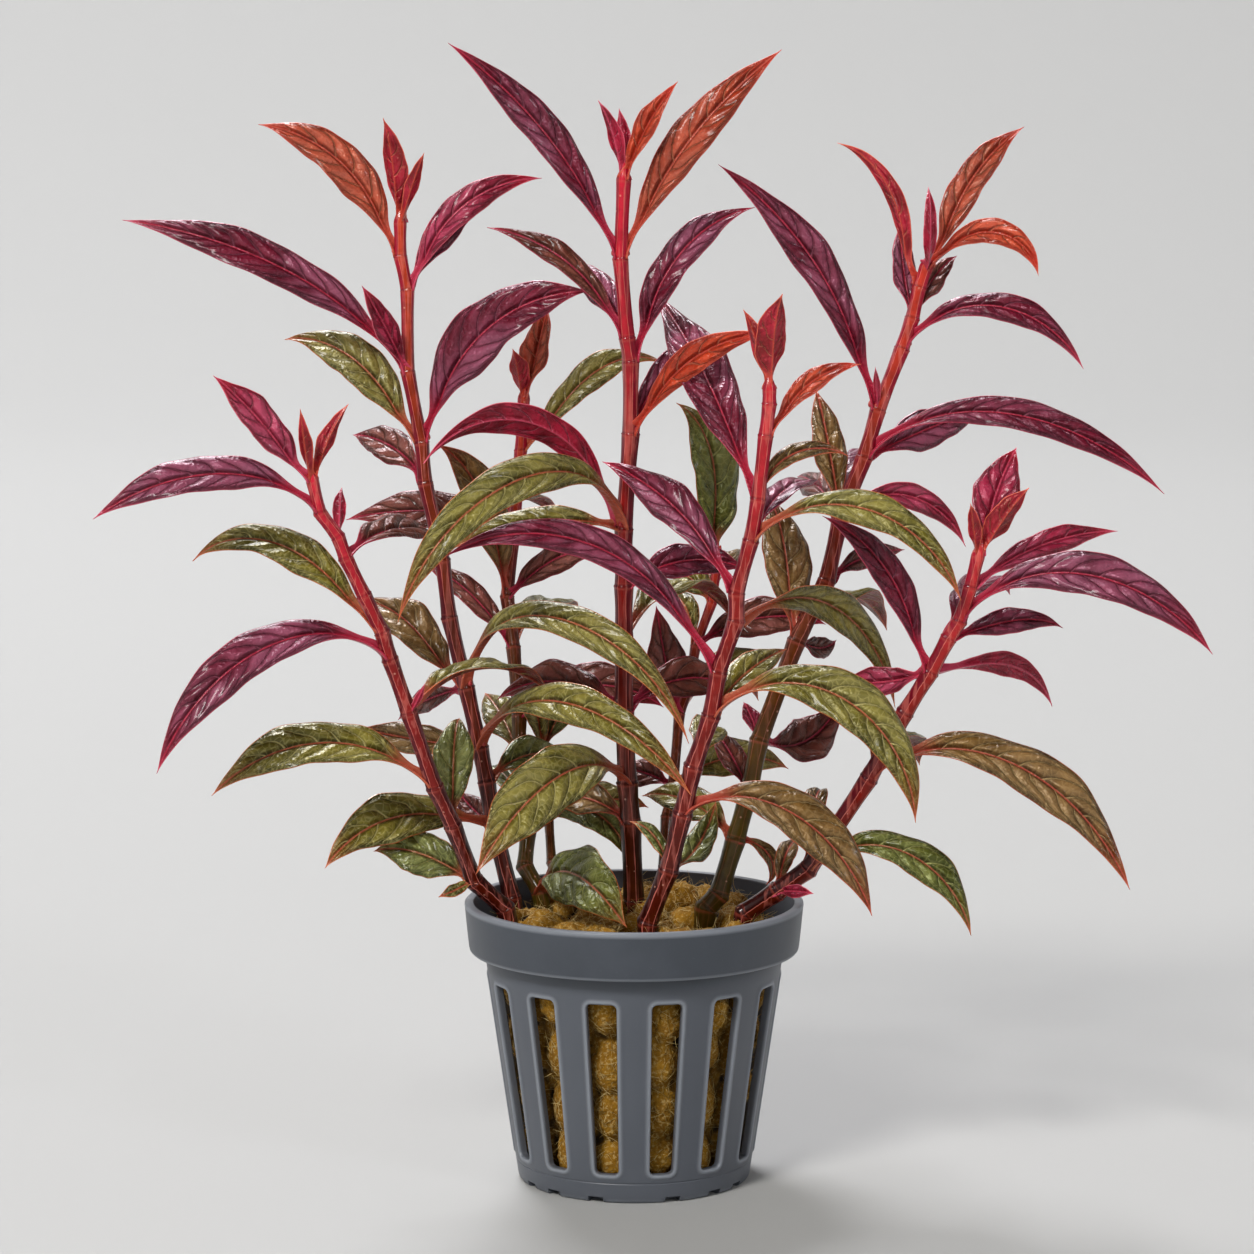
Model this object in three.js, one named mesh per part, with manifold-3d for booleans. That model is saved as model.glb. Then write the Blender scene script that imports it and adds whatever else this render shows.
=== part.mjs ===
// Potted aquarium stem plant with lance-shaped red and olive leaves, in a grey net pot.
// Millimetres, +Z up. The origin is the centre of the pot's foot and the front is -Y.
import * as THREE from "three";
import { mergeVertices } from "three/addons/utils/BufferGeometryUtils.js";
import Module from "manifold-3d";

const wasm = await Module();
wasm.setup();

// Net pot: a standard 5 cm basket
const RIM_RADIUS = 25;
const POT_HEIGHT = 41.4;
const COLLAR_HEIGHT = 7.2;
const COLLAR_FOOT_RADIUS = 24.3;
const BODY_TOP_RADIUS = 22.1;
const FOOT_RADIUS = 17.2;
const WALL = 1.2;
const LIP_WALL = 1.4;
const LIP_EDGE = 0.3;
const FLOOR = 1.4;
const FOOT_BEVEL = 0.6;
const SLOTS = 14;
const SLOT_FOOT = 4.4;
const SLOT_TOP = 30.2;
const SLOT_FOOT_WIDTH = 3.4;
const SLOT_TOP_WIDTH = 4.4;
const SLOT_CORNER = 0.7;
const AROUND = 28; // flats around the pot, two to a slot
const NOTCH_ANGLES = [19, 43, 61]; // either side of the front, and of the back
const NOTCH_WIDTH = 2.3;
const NOTCH_HEIGHT = 0.9;
const NOTCH_DEPTH = 1.9;
const DRAIN_RADIUS = 1.8;
const DRAIN_RING = 9.5;
const DRAINS = 7;
const DRAIN_SIDES = 6;
const POT_COLOR = "#5d6369";
const POT_ROUGHNESS = 0.42;

// Rock wool plug: lumps in rows, one column behind each slot, and a lumpy crown with a low mound
const WOOL_FOOT = 1.9;
const WOOL_TOP = 38.2;
const WOOL_GAP = 0.45; // to the pot's wall
const WOOL_STEPS_UP = 8;
const FOOT_RING = 6;
const SHOULDER = 1.2; // how far its upper and lower edges draw in
const LUMP_ROWS = 4;
const LUMP_CREASE = 2.1; // depth of the creases between lumps
const ROW_SHARE = 0.65; // how much of a crease runs between rows
const CROWN_RINGS = [17, 10.5, 4];
const CROWN_LUMP = 1.5;
const CROWN_WAVE = [0.42, 0.45]; // radians a millimetre, along X and Y
const CROWN_SHIFT = [0.6, 0.3];
const CROWN_SKEW = 0.05;
const MOUND_HEIGHT = 2.6;
const MOUND_AT = [5, 9];
const MOUND_REACH = 7.5;
const WOOL_COLOR = "#84742f";
const WOOL_ROUGHNESS = 0.95;

// Stems and leaves
const STEM_SIDES = 5;
const STEM_ROOT = 12; // how deep a stem goes into the wool
const ROOT_SHARE = 0.85; // how far the root end stands out, as a share of the foot
const SOIL_LEVEL = 40;
const LEAN_CURVE = 1.5; // over 1 where a stem leans early and straightens
const STEM_CLEARANCE = 0.4; // between a stem and the wool
const STEM_COLOR = "#7c2a24";
const STEM_ROUGHNESS = 0.4;
const JOINT_SWELL = 1.12;
const WAIST = 0.94;
const LONG_INTERNODE = 10.5; // shorter ones have no waist
const TOUCH_GAP = 0.3;
const PETIOLE = 0.09; // share of the leaf's length
const PETIOLE_HALF = 0.42;
const RIB_HALF = 0.42; // half the leaf's thickness at its midrib
const RIB_TAPER = 0.4; // how much of that it loses by its tip
const CUP = 0.13; // how far the blade's edges rise over its midrib
const LANCE_FOOT = 1.15; // how slowly the blade widens from its foot
const LANCE_TIP = 1.3; // how long its tip is drawn out
const LEAF_STATIONS = [0, 0.125, 0.333, 0.583, 0.833];
const SPRIG_STATIONS = [0, 0.333, 0.667];
const SPRIG_ROOT = 0.3; // where a sprig starts, as a share of the stem's radius
const LEAF_ROUGHNESS = 0.45;
const PATH_STEPS = 24;
const SAME_POINT = 1e-4;

const degrees = Math.PI / 180;

// Colours of the leaves as they age, from the glowing tips to the green foot
const ember = "#b8402c";
const rust = "#9c4a2e";
const crimson = "#9a2140";
const plum = "#5e2138";
const dusk = "#5a343a";
const bronze = "#6a4a38";
const olive = "#5c5a2a";
const moss = "#46541f";

// Each stem, from the plant's left to its right seen from the front, then those behind.
// foot: x and y where it leaves the wool. lean: how far its tip is behind its foot.
// joints: x and height of each joint, seen from the front.
// Each leaf: at, the joint it grows from; head, the way it sets out, from +X towards +Y;
// rise, its slope there; droop, the angle that it bends down by its tip;
// ease, over 1 where it bends late and under 1 where it bends early;
// roll, how the blade turns about its midrib; swing, how far it veers sideways.
// Leaves are pieces of their own. Sprigs are small or hidden leaves, one with their stem.
const STEMS = [
  {
    name: "left_front",
    foot: [-19, 0.5],
    lean: -18,
    thick: 2.6,
    thin: 1.7,
    joints: [
      [-23.5, 44.5], [-26.5, 53.5], [-29, 59.5], [-32.5, 71], [-35, 79], [-36, 83],
      [-38.5, 88.5], [-41, 94], [-42, 97], [-44.5, 100.5], [-45.5, 105],
    ],
    leaves: [
      { at: 2, head: 91, rise: 86, droop: 81, ease: 2, long: 18, wide: 6,
        roll: 0, swing: -8, tone: moss },
      { at: 3, head: -172, rise: 64, droop: 109, ease: 0.7, long: 34.5, wide: 7.5,
        roll: -50, swing: 5, tone: olive },
      { at: 5, head: -161, rise: 88, droop: 155, ease: 0.4, long: 42, wide: 7,
        roll: -50, swing: 3, tone: plum },
      { at: 6, head: 169, rise: 58, droop: 102, ease: 1.6, long: 33, wide: 6,
        roll: -50, swing: -8, tone: olive },
      { at: 10, head: -167, rise: 88, droop: 123, ease: 0.4, long: 33.5, wide: 6,
        roll: -55, swing: -7, tone: plum },
      { at: 11, head: -167, rise: 66, droop: 25, ease: 0.7, long: 19.5, wide: 5.5,
        roll: -65, tone: crimson },
    ],
    sprigs: [
      { at: 1, head: -146, rise: -21, droop: -12, ease: 1.6, long: 6, wide: 2, roll: -50, tone: olive },
      { at: 1, head: 166, rise: 30, droop: 48, ease: 2, long: 16, wide: 7, roll: -60, tone: moss },
      { at: 4, head: -52, rise: 44, droop: -14, long: 6, wide: 1, roll: -35, tone: crimson },
      { at: 4, head: 43, rise: 42, droop: 85, long: 30, wide: 7.5, roll: 0, tone: olive },
      { at: 8, head: 55, rise: 30, droop: 60, long: 24, wide: 6.5, roll: 25, tone: dusk },
      { at: 9, head: 89, rise: 66, droop: 40, long: 9, wide: 2, roll: -160, tone: crimson },
      { at: 11, head: -111, rise: 66, droop: -13, ease: 1.2, long: 11, wide: 2, roll: 5, tone: ember },
      { at: 11, head: 23, rise: 77, droop: 25, long: 12, wide: 2.5, roll: -80, tone: ember },
    ],
  },
  {
    name: "left_tall",
    foot: [-18.3, 8.6],
    lean: 4,
    thick: 2.7,
    thin: 1.8,
    joints: [
      [-21, 51], [-22, 57.5], [-23, 62.5], [-25, 71.5], [-27.5, 82], [-28.5, 90.5],
      [-31, 102], [-31.5, 108], [-33.5, 118.5], [-33.5, 130.5], [-34.5, 135.5], [-34.5, 140.5],
    ],
    leaves: [
      { at: 1, head: -152, rise: 24, droop: 76, ease: 1.3, long: 28, wide: 7.5,
        roll: -60, swing: 3, tone: olive },
      { at: 3, head: -58, rise: 79, droop: 132, ease: 0.6, long: 46, wide: 6,
        roll: 60, swing: 41, tone: olive },
      { at: 4, head: -65, rise: 88, droop: 158, ease: 0.7, long: 54, wide: 5.5,
        roll: 55, swing: 60, tone: olive },
      { at: 4, head: 146, rise: 52, droop: 58, ease: 2, long: 22.5, wide: 7, roll: -35, tone: bronze },
      { at: 8, head: -9, rise: 88, droop: 88, long: 36, wide: 9, roll: 70, tone: plum },
      { at: 8, head: 156, rise: 65, droop: 74, ease: 1.5, long: 27.5, wide: 7,
        roll: -50, swing: 2, tone: olive },
      { at: 9, head: -176, rise: 83, droop: 76, ease: 0.4, long: 48.5, wide: 6.5,
        roll: -60, swing: -19, tone: plum },
      { at: 10, head: 9, rise: 88, droop: 87, ease: 0.9, long: 27, wide: 5,
        roll: 60, tone: crimson },
      { at: 11, head: 169, rise: 83, droop: 76, long: 29.5, wide: 6.5,
        roll: -60, swing: 5, tone: rust },
    ],
    sprigs: [
      { at: 1, head: 124, rise: 11, droop: -20, long: 10.5, wide: 4, roll: -40, tone: dusk },
      { at: 2, head: 40, rise: 40, droop: 75, long: 18, wide: 6, roll: 50, tone: moss },
      { at: 3, head: 147, rise: -1, droop: -6, ease: 0.6, long: 22.5, wide: 5,
        roll: -65, tone: bronze },
      { at: 4, head: 128, rise: -15, droop: 20, ease: 2, long: 19, wide: 3.5, roll: -95, tone: dusk },
      { at: 6, head: 55, rise: 50, droop: 85, long: 33, wide: 7.5, roll: 0, tone: bronze },
      { at: 7, head: 131, rise: 63, droop: 65, ease: 0.5, long: 19, wide: 5.5,
        roll: -50, tone: dusk },
      { at: 9, head: -130, rise: 59, droop: 9, long: 16, wide: 3.5, roll: -115, tone: crimson },
      { at: 10, head: 42, rise: 62, droop: 40, long: 22, wide: 4.5, roll: 50, tone: plum },
      { at: 12, head: -142, rise: 86, droop: 16, ease: 1.9, long: 15.5, wide: 4,
        roll: 25, tone: ember },
      { at: 12, head: -58, rise: 60, droop: 9, long: 12.5, wide: 2, roll: -25, tone: ember },
      { at: 12, head: 97, rise: 86, droop: 3, ease: 1.1, long: 12, wide: 1.5,
        roll: 145, tone: crimson },
    ],
  },
  {
    name: "middle_tall",
    foot: [0, 6.5],
    lean: -4,
    thick: 3.1,
    thin: 2,
    joints: [
      [-0.5, 52], [-1, 58], [-1.5, 69], [-1.5, 79.5], [-1.5, 87.5], [-1.5, 96],
      [-0.5, 110], [-0.5, 120.5], [-1, 124], [-2, 135.5], [-1.5, 147],
    ],
    leaves: [
      { at: 2, head: -122, rise: 86, droop: 143, ease: 0.4, long: 36, wide: 9.5,
        roll: -55, swing: -24, tone: olive },
      { at: 6, head: -150, rise: 82, droop: 131, ease: 1.1, long: 41.5, wide: 5,
        roll: 70, tone: crimson },
      { at: 6, head: -118, rise: 87, droop: 160, ease: 0.6, long: 53.5, wide: 6.5,
        roll: -60, swing: -52, tone: olive },
      { at: 7, head: -38, rise: 76, droop: 71, ease: 0.8, long: 27.5, wide: 4.5,
        roll: 90, swing: 15, tone: ember },
      { at: 8, head: 23, rise: 89, droop: 79, ease: 1.1, long: 31, wide: 5.5, roll: 50, tone: plum },
      { at: 9, head: 157, rise: 88, droop: 80, ease: 0.6, long: 27.5, wide: 4,
        roll: -50, tone: dusk },
      { at: 10, head: -172, rise: 89, droop: 53, ease: 0.5, long: 39.5, wide: 6,
        roll: -65, swing: -4, tone: plum },
      { at: 10, head: 5, rise: 89, droop: 52, ease: 0.5, long: 38, wide: 6.5,
        roll: 60, swing: 6, tone: rust },
    ],
    sprigs: [
      { at: 1, head: 160, rise: 40, droop: 60, long: 16, wide: 5.5, roll: -55, tone: bronze },
      { at: 3, head: 30, rise: 40, droop: 75, long: 22, wide: 6.5, roll: 55, tone: dusk },
      { at: 3, head: 150, rise: 35, droop: 70, long: 23, wide: 6.5, roll: -55, tone: dusk },
      { at: 4, head: 58, rise: 45, droop: 90, long: 34, wide: 8, roll: 0, tone: olive },
      { at: 5, head: 20, rise: 35, droop: 60, long: 20, wide: 5.5, roll: 60, tone: plum },
      { at: 6, head: 178, rise: 17, droop: 45, ease: 0.9, long: 25.5, wide: 5, roll: -55, tone: olive },
      { at: 7, head: 35, rise: 72, droop: 66, long: 22, wide: 4.5, roll: 50, tone: plum },
      { at: 9, head: 118, rise: 52, droop: 50, long: 22, wide: 4.5, roll: -40, tone: plum },
      { at: 11, head: -160, rise: 86, droop: 28, ease: 1.1, long: 12, wide: 2.5,
        roll: 40, tone: crimson },
      { at: 11, head: -8, rise: 74, droop: 24, long: 16, wide: 3.5, roll: 70, tone: ember },
      { at: 11, head: 97, rise: 84, droop: 41, long: 11.5, wide: 2.5, roll: 155, tone: crimson },
    ],
  },
  {
    name: "front",
    foot: [2, -9.5],
    lean: -9,
    thick: 3,
    thin: 1.9,
    joints: [
      [5, 48], [7, 56.5], [8.5, 63.5], [11, 71], [12, 77.5], [14.5, 85],
      [14.5, 89], [16.5, 96.5], [17.5, 102.5], [18.5, 111.5], [19, 116], [19, 118],
    ],
    leaves: [
      { at: 2, head: -16, rise: 82, droop: 152, ease: 0.4, long: 34, wide: 8,
        roll: 45, swing: 3, tone: bronze },
      { at: 4, head: -15, rise: 76, droop: 162, ease: 0.6, long: 40.5, wide: 8, roll: 50, tone: olive },
      { at: 5, head: -178, rise: 74, droop: 105, ease: 1.1, long: 47, wide: 5.5,
        roll: -60, tone: plum },
      { at: 6, head: 51, rise: 23, droop: 97, long: 43.5, wide: 5.5,
        roll: 100, swing: -7, tone: olive },
      { at: 7, head: 138, rise: 83, droop: 69, ease: 0.5, long: 30, wide: 6,
        roll: -45, swing: 3, tone: plum },
      { at: 8, head: -11, rise: 75, droop: 143, ease: 0.6, long: 35.5, wide: 5.5,
        roll: 55, swing: 3, tone: olive },
      { at: 9, head: 112, rise: 51, droop: 26, ease: 0.9, long: 45, wide: 8, roll: -18, tone: plum },
      { at: 10, head: 23, rise: 86, droop: 83, ease: 0.7, long: 17.5, wide: 3.5,
        roll: 45, tone: ember },
    ],
    sprigs: [
      { at: 1, head: 64, rise: -3, droop: -60, ease: 1.1, long: 18.5, wide: 4.5, roll: 25, tone: moss },
      { at: 1, head: 143, rise: 86, droop: 84, long: 10, wide: 2.5, roll: -30, tone: moss },
      { at: 3, head: 75, rise: 45, droop: 70, long: 17, wide: 5.5, roll: 30, tone: olive },
      { at: 4, head: 52, rise: 56, droop: 49, ease: 0.5, long: 20, wide: 5, roll: 40, tone: olive },
      { at: 8, head: 60, rise: 50, droop: 70, long: 24, wide: 6, roll: 0, tone: plum },
      { at: 9, head: 22, rise: 87, droop: 114, ease: 0.8, long: 17, wide: 3,
        roll: 50, swing: -5, tone: bronze },
      { at: 12, head: -61, rise: 87, droop: 26, ease: 2, long: 14, wide: 5,
        roll: -5, swing: 4, tone: ember },
      { at: 12, head: 138, rise: 80, droop: 24, long: 12, wide: 3, roll: 100, tone: ember },
    ],
  },
  {
    name: "right_tall",
    foot: [10.6, 0.5],
    lean: 10,
    thick: 3.1,
    thin: 1.9,
    joints: [
      [12.5, 42], [15, 50], [17, 57], [18.5, 64.5], [24, 79], [28.5, 88],
      [30.5, 97], [34, 106], [36, 113], [39.5, 122], [41, 126.5], [42, 131],
      [43, 134],
    ],
    leaves: [
      { at: 5, head: 108, rise: 86, droop: 59, ease: 1.7, long: 23.5, wide: 7.5,
        roll: 0, tone: bronze },
      { at: 8, head: -8, rise: 88, droop: 131, ease: 0.4, long: 47.5, wide: 5.5,
        roll: 55, swing: 2, tone: plum },
      { at: 9, head: -172, rise: 89, droop: 54, ease: 0.8, long: 43.5, wide: 6,
        roll: -70, swing: -15, tone: plum },
      { at: 10, head: -11, rise: 88, droop: 148, ease: 0.6, long: 31, wide: 4.5,
        roll: 60, tone: plum },
      { at: 12, head: 160, rise: 89, droop: 73, ease: 1.8, long: 25.5, wide: 3,
        roll: 75, swing: 4, tone: ember },
      { at: 13, head: -21, rise: 65, droop: 144, ease: 1.1, long: 20.5, wide: 4,
        roll: 65, swing: -3, tone: ember },
      { at: 13, head: 29, rise: 75, droop: 46, ease: 1.2, long: 26, wide: 5,
        roll: 50, swing: -4, tone: rust },
    ],
    sprigs: [
      { at: 2, head: 0, rise: -6, droop: 127, ease: 1.4, long: 10, wide: 2.5, roll: 55, tone: bronze },
      { at: 2, head: 140, rise: 45, droop: 60, long: 19, wide: 6, roll: -40, tone: olive },
      { at: 3, head: 115, rise: 47, droop: 25, long: 13.5, wide: 4, roll: -25, tone: dusk },
      { at: 4, head: 48, rise: -24, droop: -82, ease: 1.2, long: 20, wide: 7,
        roll: 55, swing: -4, tone: dusk },
      { at: 4, head: 109, rise: 54, droop: 32, long: 8, wide: 2.5, roll: -15, tone: crimson },
      { at: 5, head: 53, rise: -21, droop: -47, ease: 1.9, long: 10.5, wide: 3.5,
        roll: 75, tone: dusk },
      { at: 5, head: 60, rise: 42, droop: 90, long: 33, wide: 8, roll: 0, tone: olive },
      { at: 6, head: 49, rise: 34, droop: 37, ease: 0.5, long: 19, wide: 3.5, roll: 60, tone: dusk },
      { at: 7, head: 27, rise: 56, droop: 117, ease: 0.7, long: 25.5, wide: 4,
        roll: 80, tone: crimson },
      { at: 7, head: 85, rise: 48, droop: 80, long: 34, wide: 7.5, roll: 0, tone: plum },
      { at: 7, head: 101, rise: 21, droop: 26, long: 28, wide: 5, roll: -35, tone: dusk },
      { at: 7, head: 102, rise: 63, droop: 23, long: 23.5, wide: 5, roll: -5, tone: bronze },
      { at: 8, head: 40, rise: 18, droop: 8, ease: 1.1, long: 25, wide: 6, roll: 60, tone: plum },
      { at: 9, head: -99, rise: 71, droop: 27, long: 8, wide: 1, roll: 0, tone: crimson },
      { at: 11, head: 37, rise: 69, droop: 43, long: 12.5, wide: 4, roll: 35, tone: dusk },
      { at: 11, head: 112, rise: 63, droop: -19, long: 14.5, wide: 4, roll: 0, tone: plum },
      { at: 13, head: -88, rise: 13, droop: -150, ease: 1.1, long: 16, wide: 2,
        roll: 0, tone: crimson },
    ],
  },
  {
    name: "right_low",
    foot: [16.3, -3],
    lean: -11,
    thick: 3,
    thin: 1.9,
    joints: [
      [21, 43.5], [25.5, 47], [34, 61], [39, 71], [42.5, 77], [45, 82],
      [46.5, 84.5], [48, 89.5], [49, 94],
    ],
    leaves: [
      { at: 2, head: -16, rise: 74, droop: 150, ease: 0.6, long: 29.5, wide: 6, roll: 45, tone: moss },
      { at: 3, head: -8, rise: 88, droop: 152, ease: 0.4, long: 45.5, wide: 7.5,
        roll: 50, swing: -15, tone: bronze },
      { at: 5, head: -161, rise: 88, droop: 63, ease: 1.1, long: 28.5, wide: 5,
        roll: -80, swing: -6, tone: plum },
      { at: 5, head: 31, rise: 8, droop: 74, ease: 1.8, long: 24, wide: 3.5,
        roll: -80, swing: 11, tone: crimson },
      { at: 7, head: -10, rise: 88, droop: 140, ease: 0.5, long: 40.5, wide: 7,
        roll: 55, tone: plum },
      { at: 9, head: 59, rise: 89, droop: 45, ease: 0.5, long: 17.5, wide: 6.5,
        roll: 25, swing: -8, tone: crimson },
    ],
    sprigs: [
      { at: 1, head: -57, rise: 12, droop: 9, long: 8.5, wide: 2, roll: 70, tone: crimson },
      { at: 1, head: 69, rise: 76, droop: 80, long: 11.5, wide: 3, roll: 15, tone: bronze },
      { at: 2, head: 75, rise: 86, droop: 142, ease: 1.9, long: 18, wide: 3.5, roll: 5, tone: bronze },
      { at: 3, head: 70, rise: 38, droop: 85, long: 29, wide: 7.5, roll: 0, tone: olive },
      { at: 5, head: 136, rise: -22, droop: -22, ease: 0.8, long: 18, wide: 4.5,
        roll: -75, tone: crimson },
      { at: 6, head: 24, rise: 14, droop: 43, ease: 2.6, long: 18.5, wide: 4,
        roll: 60, swing: -4, tone: plum },
      { at: 6, head: 65, rise: 48, droop: 80, long: 28, wide: 6.5, roll: 0, tone: plum },
      { at: 8, head: 32, rise: 33, droop: 36, ease: 0.9, long: 27.5, wide: 4,
        roll: 60, tone: crimson },
      { at: 9, head: -113, rise: 68, droop: 2, long: 8.5, wide: 2, roll: 5, tone: ember },
      { at: 9, head: -9, rise: 63, droop: 15, long: 12, wide: 4, roll: -60, tone: ember },
    ],
  },
  {
    name: "back_left",
    foot: [-14.2, 13.5],
    lean: 26,
    thick: 2.4,
    thin: 1.7,
    joints: [
      [-16.5, 43.5], [-16, 48.5], [-17.5, 58.5], [-17.5, 65], [-18.5, 75], [-19.5, 82.5],
      [-18.5, 92], [-17.5, 104.5], [-17, 112.5],
    ],
    leaves: [
      { at: 0, head: -72, rise: 70, droop: 104, ease: 0.5, long: 31, wide: 9.5,
        roll: 55, swing: 16, tone: moss },
      { at: 2, head: -33, rise: 73, droop: 150, ease: 0.8, long: 22, wide: 5.5, roll: 55, tone: moss },
      { at: 8, head: 13, rise: 57, droop: 85, ease: 2.3, long: 27.5, wide: 5.5,
        roll: 50, swing: 3, tone: olive },
    ],
    sprigs: [
      { at: 2, head: 110, rise: 52, droop: 80, long: 26, wide: 6.5, roll: 0, tone: moss },
      { at: 3, head: 111, rise: 63, droop: 52, ease: 0.5, long: 18, wide: 6, roll: -20, tone: olive },
      { at: 4, head: -10, rise: 45, droop: 80, long: 24, wide: 7, roll: 60, tone: dusk },
      { at: 5, head: 70, rise: 42, droop: 85, long: 30, wide: 7, roll: 0, tone: olive },
      { at: 5, head: 157, rise: 55, droop: 41, ease: 1.5, long: 20, wide: 4.5, roll: -40, tone: dusk },
      { at: 6, head: -149, rise: 80, droop: 55, ease: 2.3, long: 28, wide: 7,
        roll: -90, swing: 3, tone: bronze },
      { at: 6, head: -21, rise: 44, droop: 61, ease: 2, long: 19, wide: 5, roll: 75, tone: dusk },
      { at: 7, head: 95, rise: 50, droop: 80, long: 28, wide: 6.5, roll: 0, tone: plum },
      { at: 7, head: 170, rise: 39, droop: 53, ease: 0.5, long: 27, wide: 7, roll: -55, tone: dusk },
      { at: 9, head: -145, rise: 83, droop: 11, long: 8, wide: 3.5, roll: 30, tone: ember },
      { at: 9, head: 16, rise: 74, droop: -4, long: 15, wide: 5, roll: 45, tone: rust },
    ],
  },
  {
    name: "back_right",
    foot: [4.3, 17],
    lean: 16,
    thick: 1.8,
    thin: 1.5,
    joints: [
      [5, 50], [6, 54.5], [7, 65], [8.5, 69], [9.5, 75], [12, 81.5],
      [13, 88],
    ],
    leaves: [
      { at: 7, head: 155, rise: 98, droop: 72, ease: 2.4, long: 26.5, wide: 8.5,
        roll: -35, tone: moss },
    ],
    sprigs: [
      { at: 2, head: 144, rise: 22, droop: 24, long: 10.5, wide: 4.5, roll: -60, tone: dusk },
      { at: 2, head: 20, rise: 40, droop: 70, long: 20, wide: 6.5, roll: 55, tone: olive },
      { at: 3, head: -129, rise: 66, droop: -13, long: 18, wide: 6, roll: -115, tone: dusk },
      { at: 3, head: 60, rise: 40, droop: 85, long: 28, wide: 7, roll: 0, tone: olive },
      { at: 4, head: 36, rise: 26, droop: 15, long: 14.5, wide: 5, roll: 55, tone: olive },
      { at: 5, head: 113, rise: 80, droop: 97, long: 14.5, wide: 4, roll: -25, tone: olive },
      { at: 5, head: 0, rise: 40, droop: 60, long: 21, wide: 6.5, roll: 60, tone: dusk },
      { at: 6, head: 80, rise: 48, droop: 80, long: 26, wide: 6, roll: 0, tone: bronze },
      { at: 6, head: 149, rise: 64, droop: 67, long: 9.5, wide: 5.5, roll: -45, tone: olive },
    ],
  },
  {
    name: "back_slim",
    foot: [-11, 16.5],
    lean: 10,
    thick: 1.6,
    thin: 1.3,
    joints: [
      [-12.5, 43.5], [-13, 49.5], [-14, 59],
    ],
    leaves: [
    ],
    sprigs: [
      { at: 2, head: -124, rise: 58, droop: 50, long: 13.5, wide: 4, roll: -80, tone: moss },
      { at: 2, head: 110, rise: 42, droop: 80, long: 24, wide: 6.5, roll: 0, tone: moss },
      { at: 2, head: 10, rise: 35, droop: 60, long: 16, wide: 5.5, roll: 55, tone: olive },
      { at: 3, head: -105, rise: 79, droop: 57, long: 17, wide: 4, roll: -145, tone: olive },
      { at: 3, head: 25, rise: 71, droop: 39, ease: 1.2, long: 16, wide: 6.5, roll: 35, tone: moss },
    ],
  },
];

// Turns closed geometry into a solid that can be joined and cut
function toSolid(geometry) {
  const bare = geometry.clone();
  bare.deleteAttribute("normal");
  bare.deleteAttribute("uv");
  const merged = mergeVertices(bare, SAME_POINT);
  const mesh = new wasm.Mesh({
    numProp: 3,
    vertProperties: new Float32Array(merged.attributes.position.array),
    triVerts: new Uint32Array(merged.index.array),
  });
  return new wasm.Manifold(mesh);
}

function toGeometry(solid) {
  const mesh = solid.getMesh();
  const geometry = new THREE.BufferGeometry();
  geometry.setAttribute("position", new THREE.BufferAttribute(new Float32Array(mesh.vertProperties), 3));
  geometry.setIndex(new THREE.BufferAttribute(new Uint32Array(mesh.triVerts), 1));
  geometry.computeVertexNormals();
  return geometry;
}

// Joins a row of rings, each with the same number of points, into one closed skin
function skin(rings, endTip) {
  const sides = rings[0].length;
  const points = rings.flat();
  const faces = [];
  for (let r = 0; r < rings.length - 1; r += 1) {
    for (let k = 0; k < sides; k += 1) {
      const a = r * sides + k;
      const b = r * sides + ((k + 1) % sides);
      faces.push(a, b, b + sides, a, b + sides, a + sides);
    }
  }
  for (let k = 1; k < sides - 1; k += 1) {
    faces.push(0, k + 1, k);
  }
  const last = (rings.length - 1) * sides;
  if (endTip) {
    points.push(endTip);
    for (let k = 0; k < sides; k += 1) {
      faces.push(last + k, last + ((k + 1) % sides), points.length - 1);
    }
  } else {
    for (let k = 1; k < sides - 1; k += 1) {
      faces.push(last, last + k, last + k + 1);
    }
  }
  const geometry = new THREE.BufferGeometry().setFromPoints(points);
  geometry.setIndex(faces);
  return geometry;
}

// The net pot, with its slots, foot notches and drain holes

function slotCutter() {
  const low = SLOT_FOOT_WIDTH / 2;
  const high = SLOT_TOP_WIDTH / 2;
  const c = SLOT_CORNER;
  const outline = new THREE.Shape();
  outline.moveTo(-low + c, SLOT_FOOT);
  outline.lineTo(low - c, SLOT_FOOT);
  outline.quadraticCurveTo(low, SLOT_FOOT, low, SLOT_FOOT + c);
  outline.lineTo(high, SLOT_TOP - c);
  outline.quadraticCurveTo(high, SLOT_TOP, high - c, SLOT_TOP);
  outline.lineTo(-high + c, SLOT_TOP);
  outline.quadraticCurveTo(-high, SLOT_TOP, -high, SLOT_TOP - c);
  outline.lineTo(-low, SLOT_FOOT + c);
  outline.quadraticCurveTo(-low, SLOT_FOOT, -low + c, SLOT_FOOT);
  const reach = RIM_RADIUS - FOOT_RADIUS / 2;
  const cutter = new THREE.ExtrudeGeometry(outline, { depth: reach, bevelEnabled: false, curveSegments: 1 });
  cutter.rotateX(Math.PI / 2); // the slot's height is now along Z, and it cuts towards -Y
  cutter.translate(0, -FOOT_RADIUS / 2, 0);
  return cutter;
}

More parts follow.
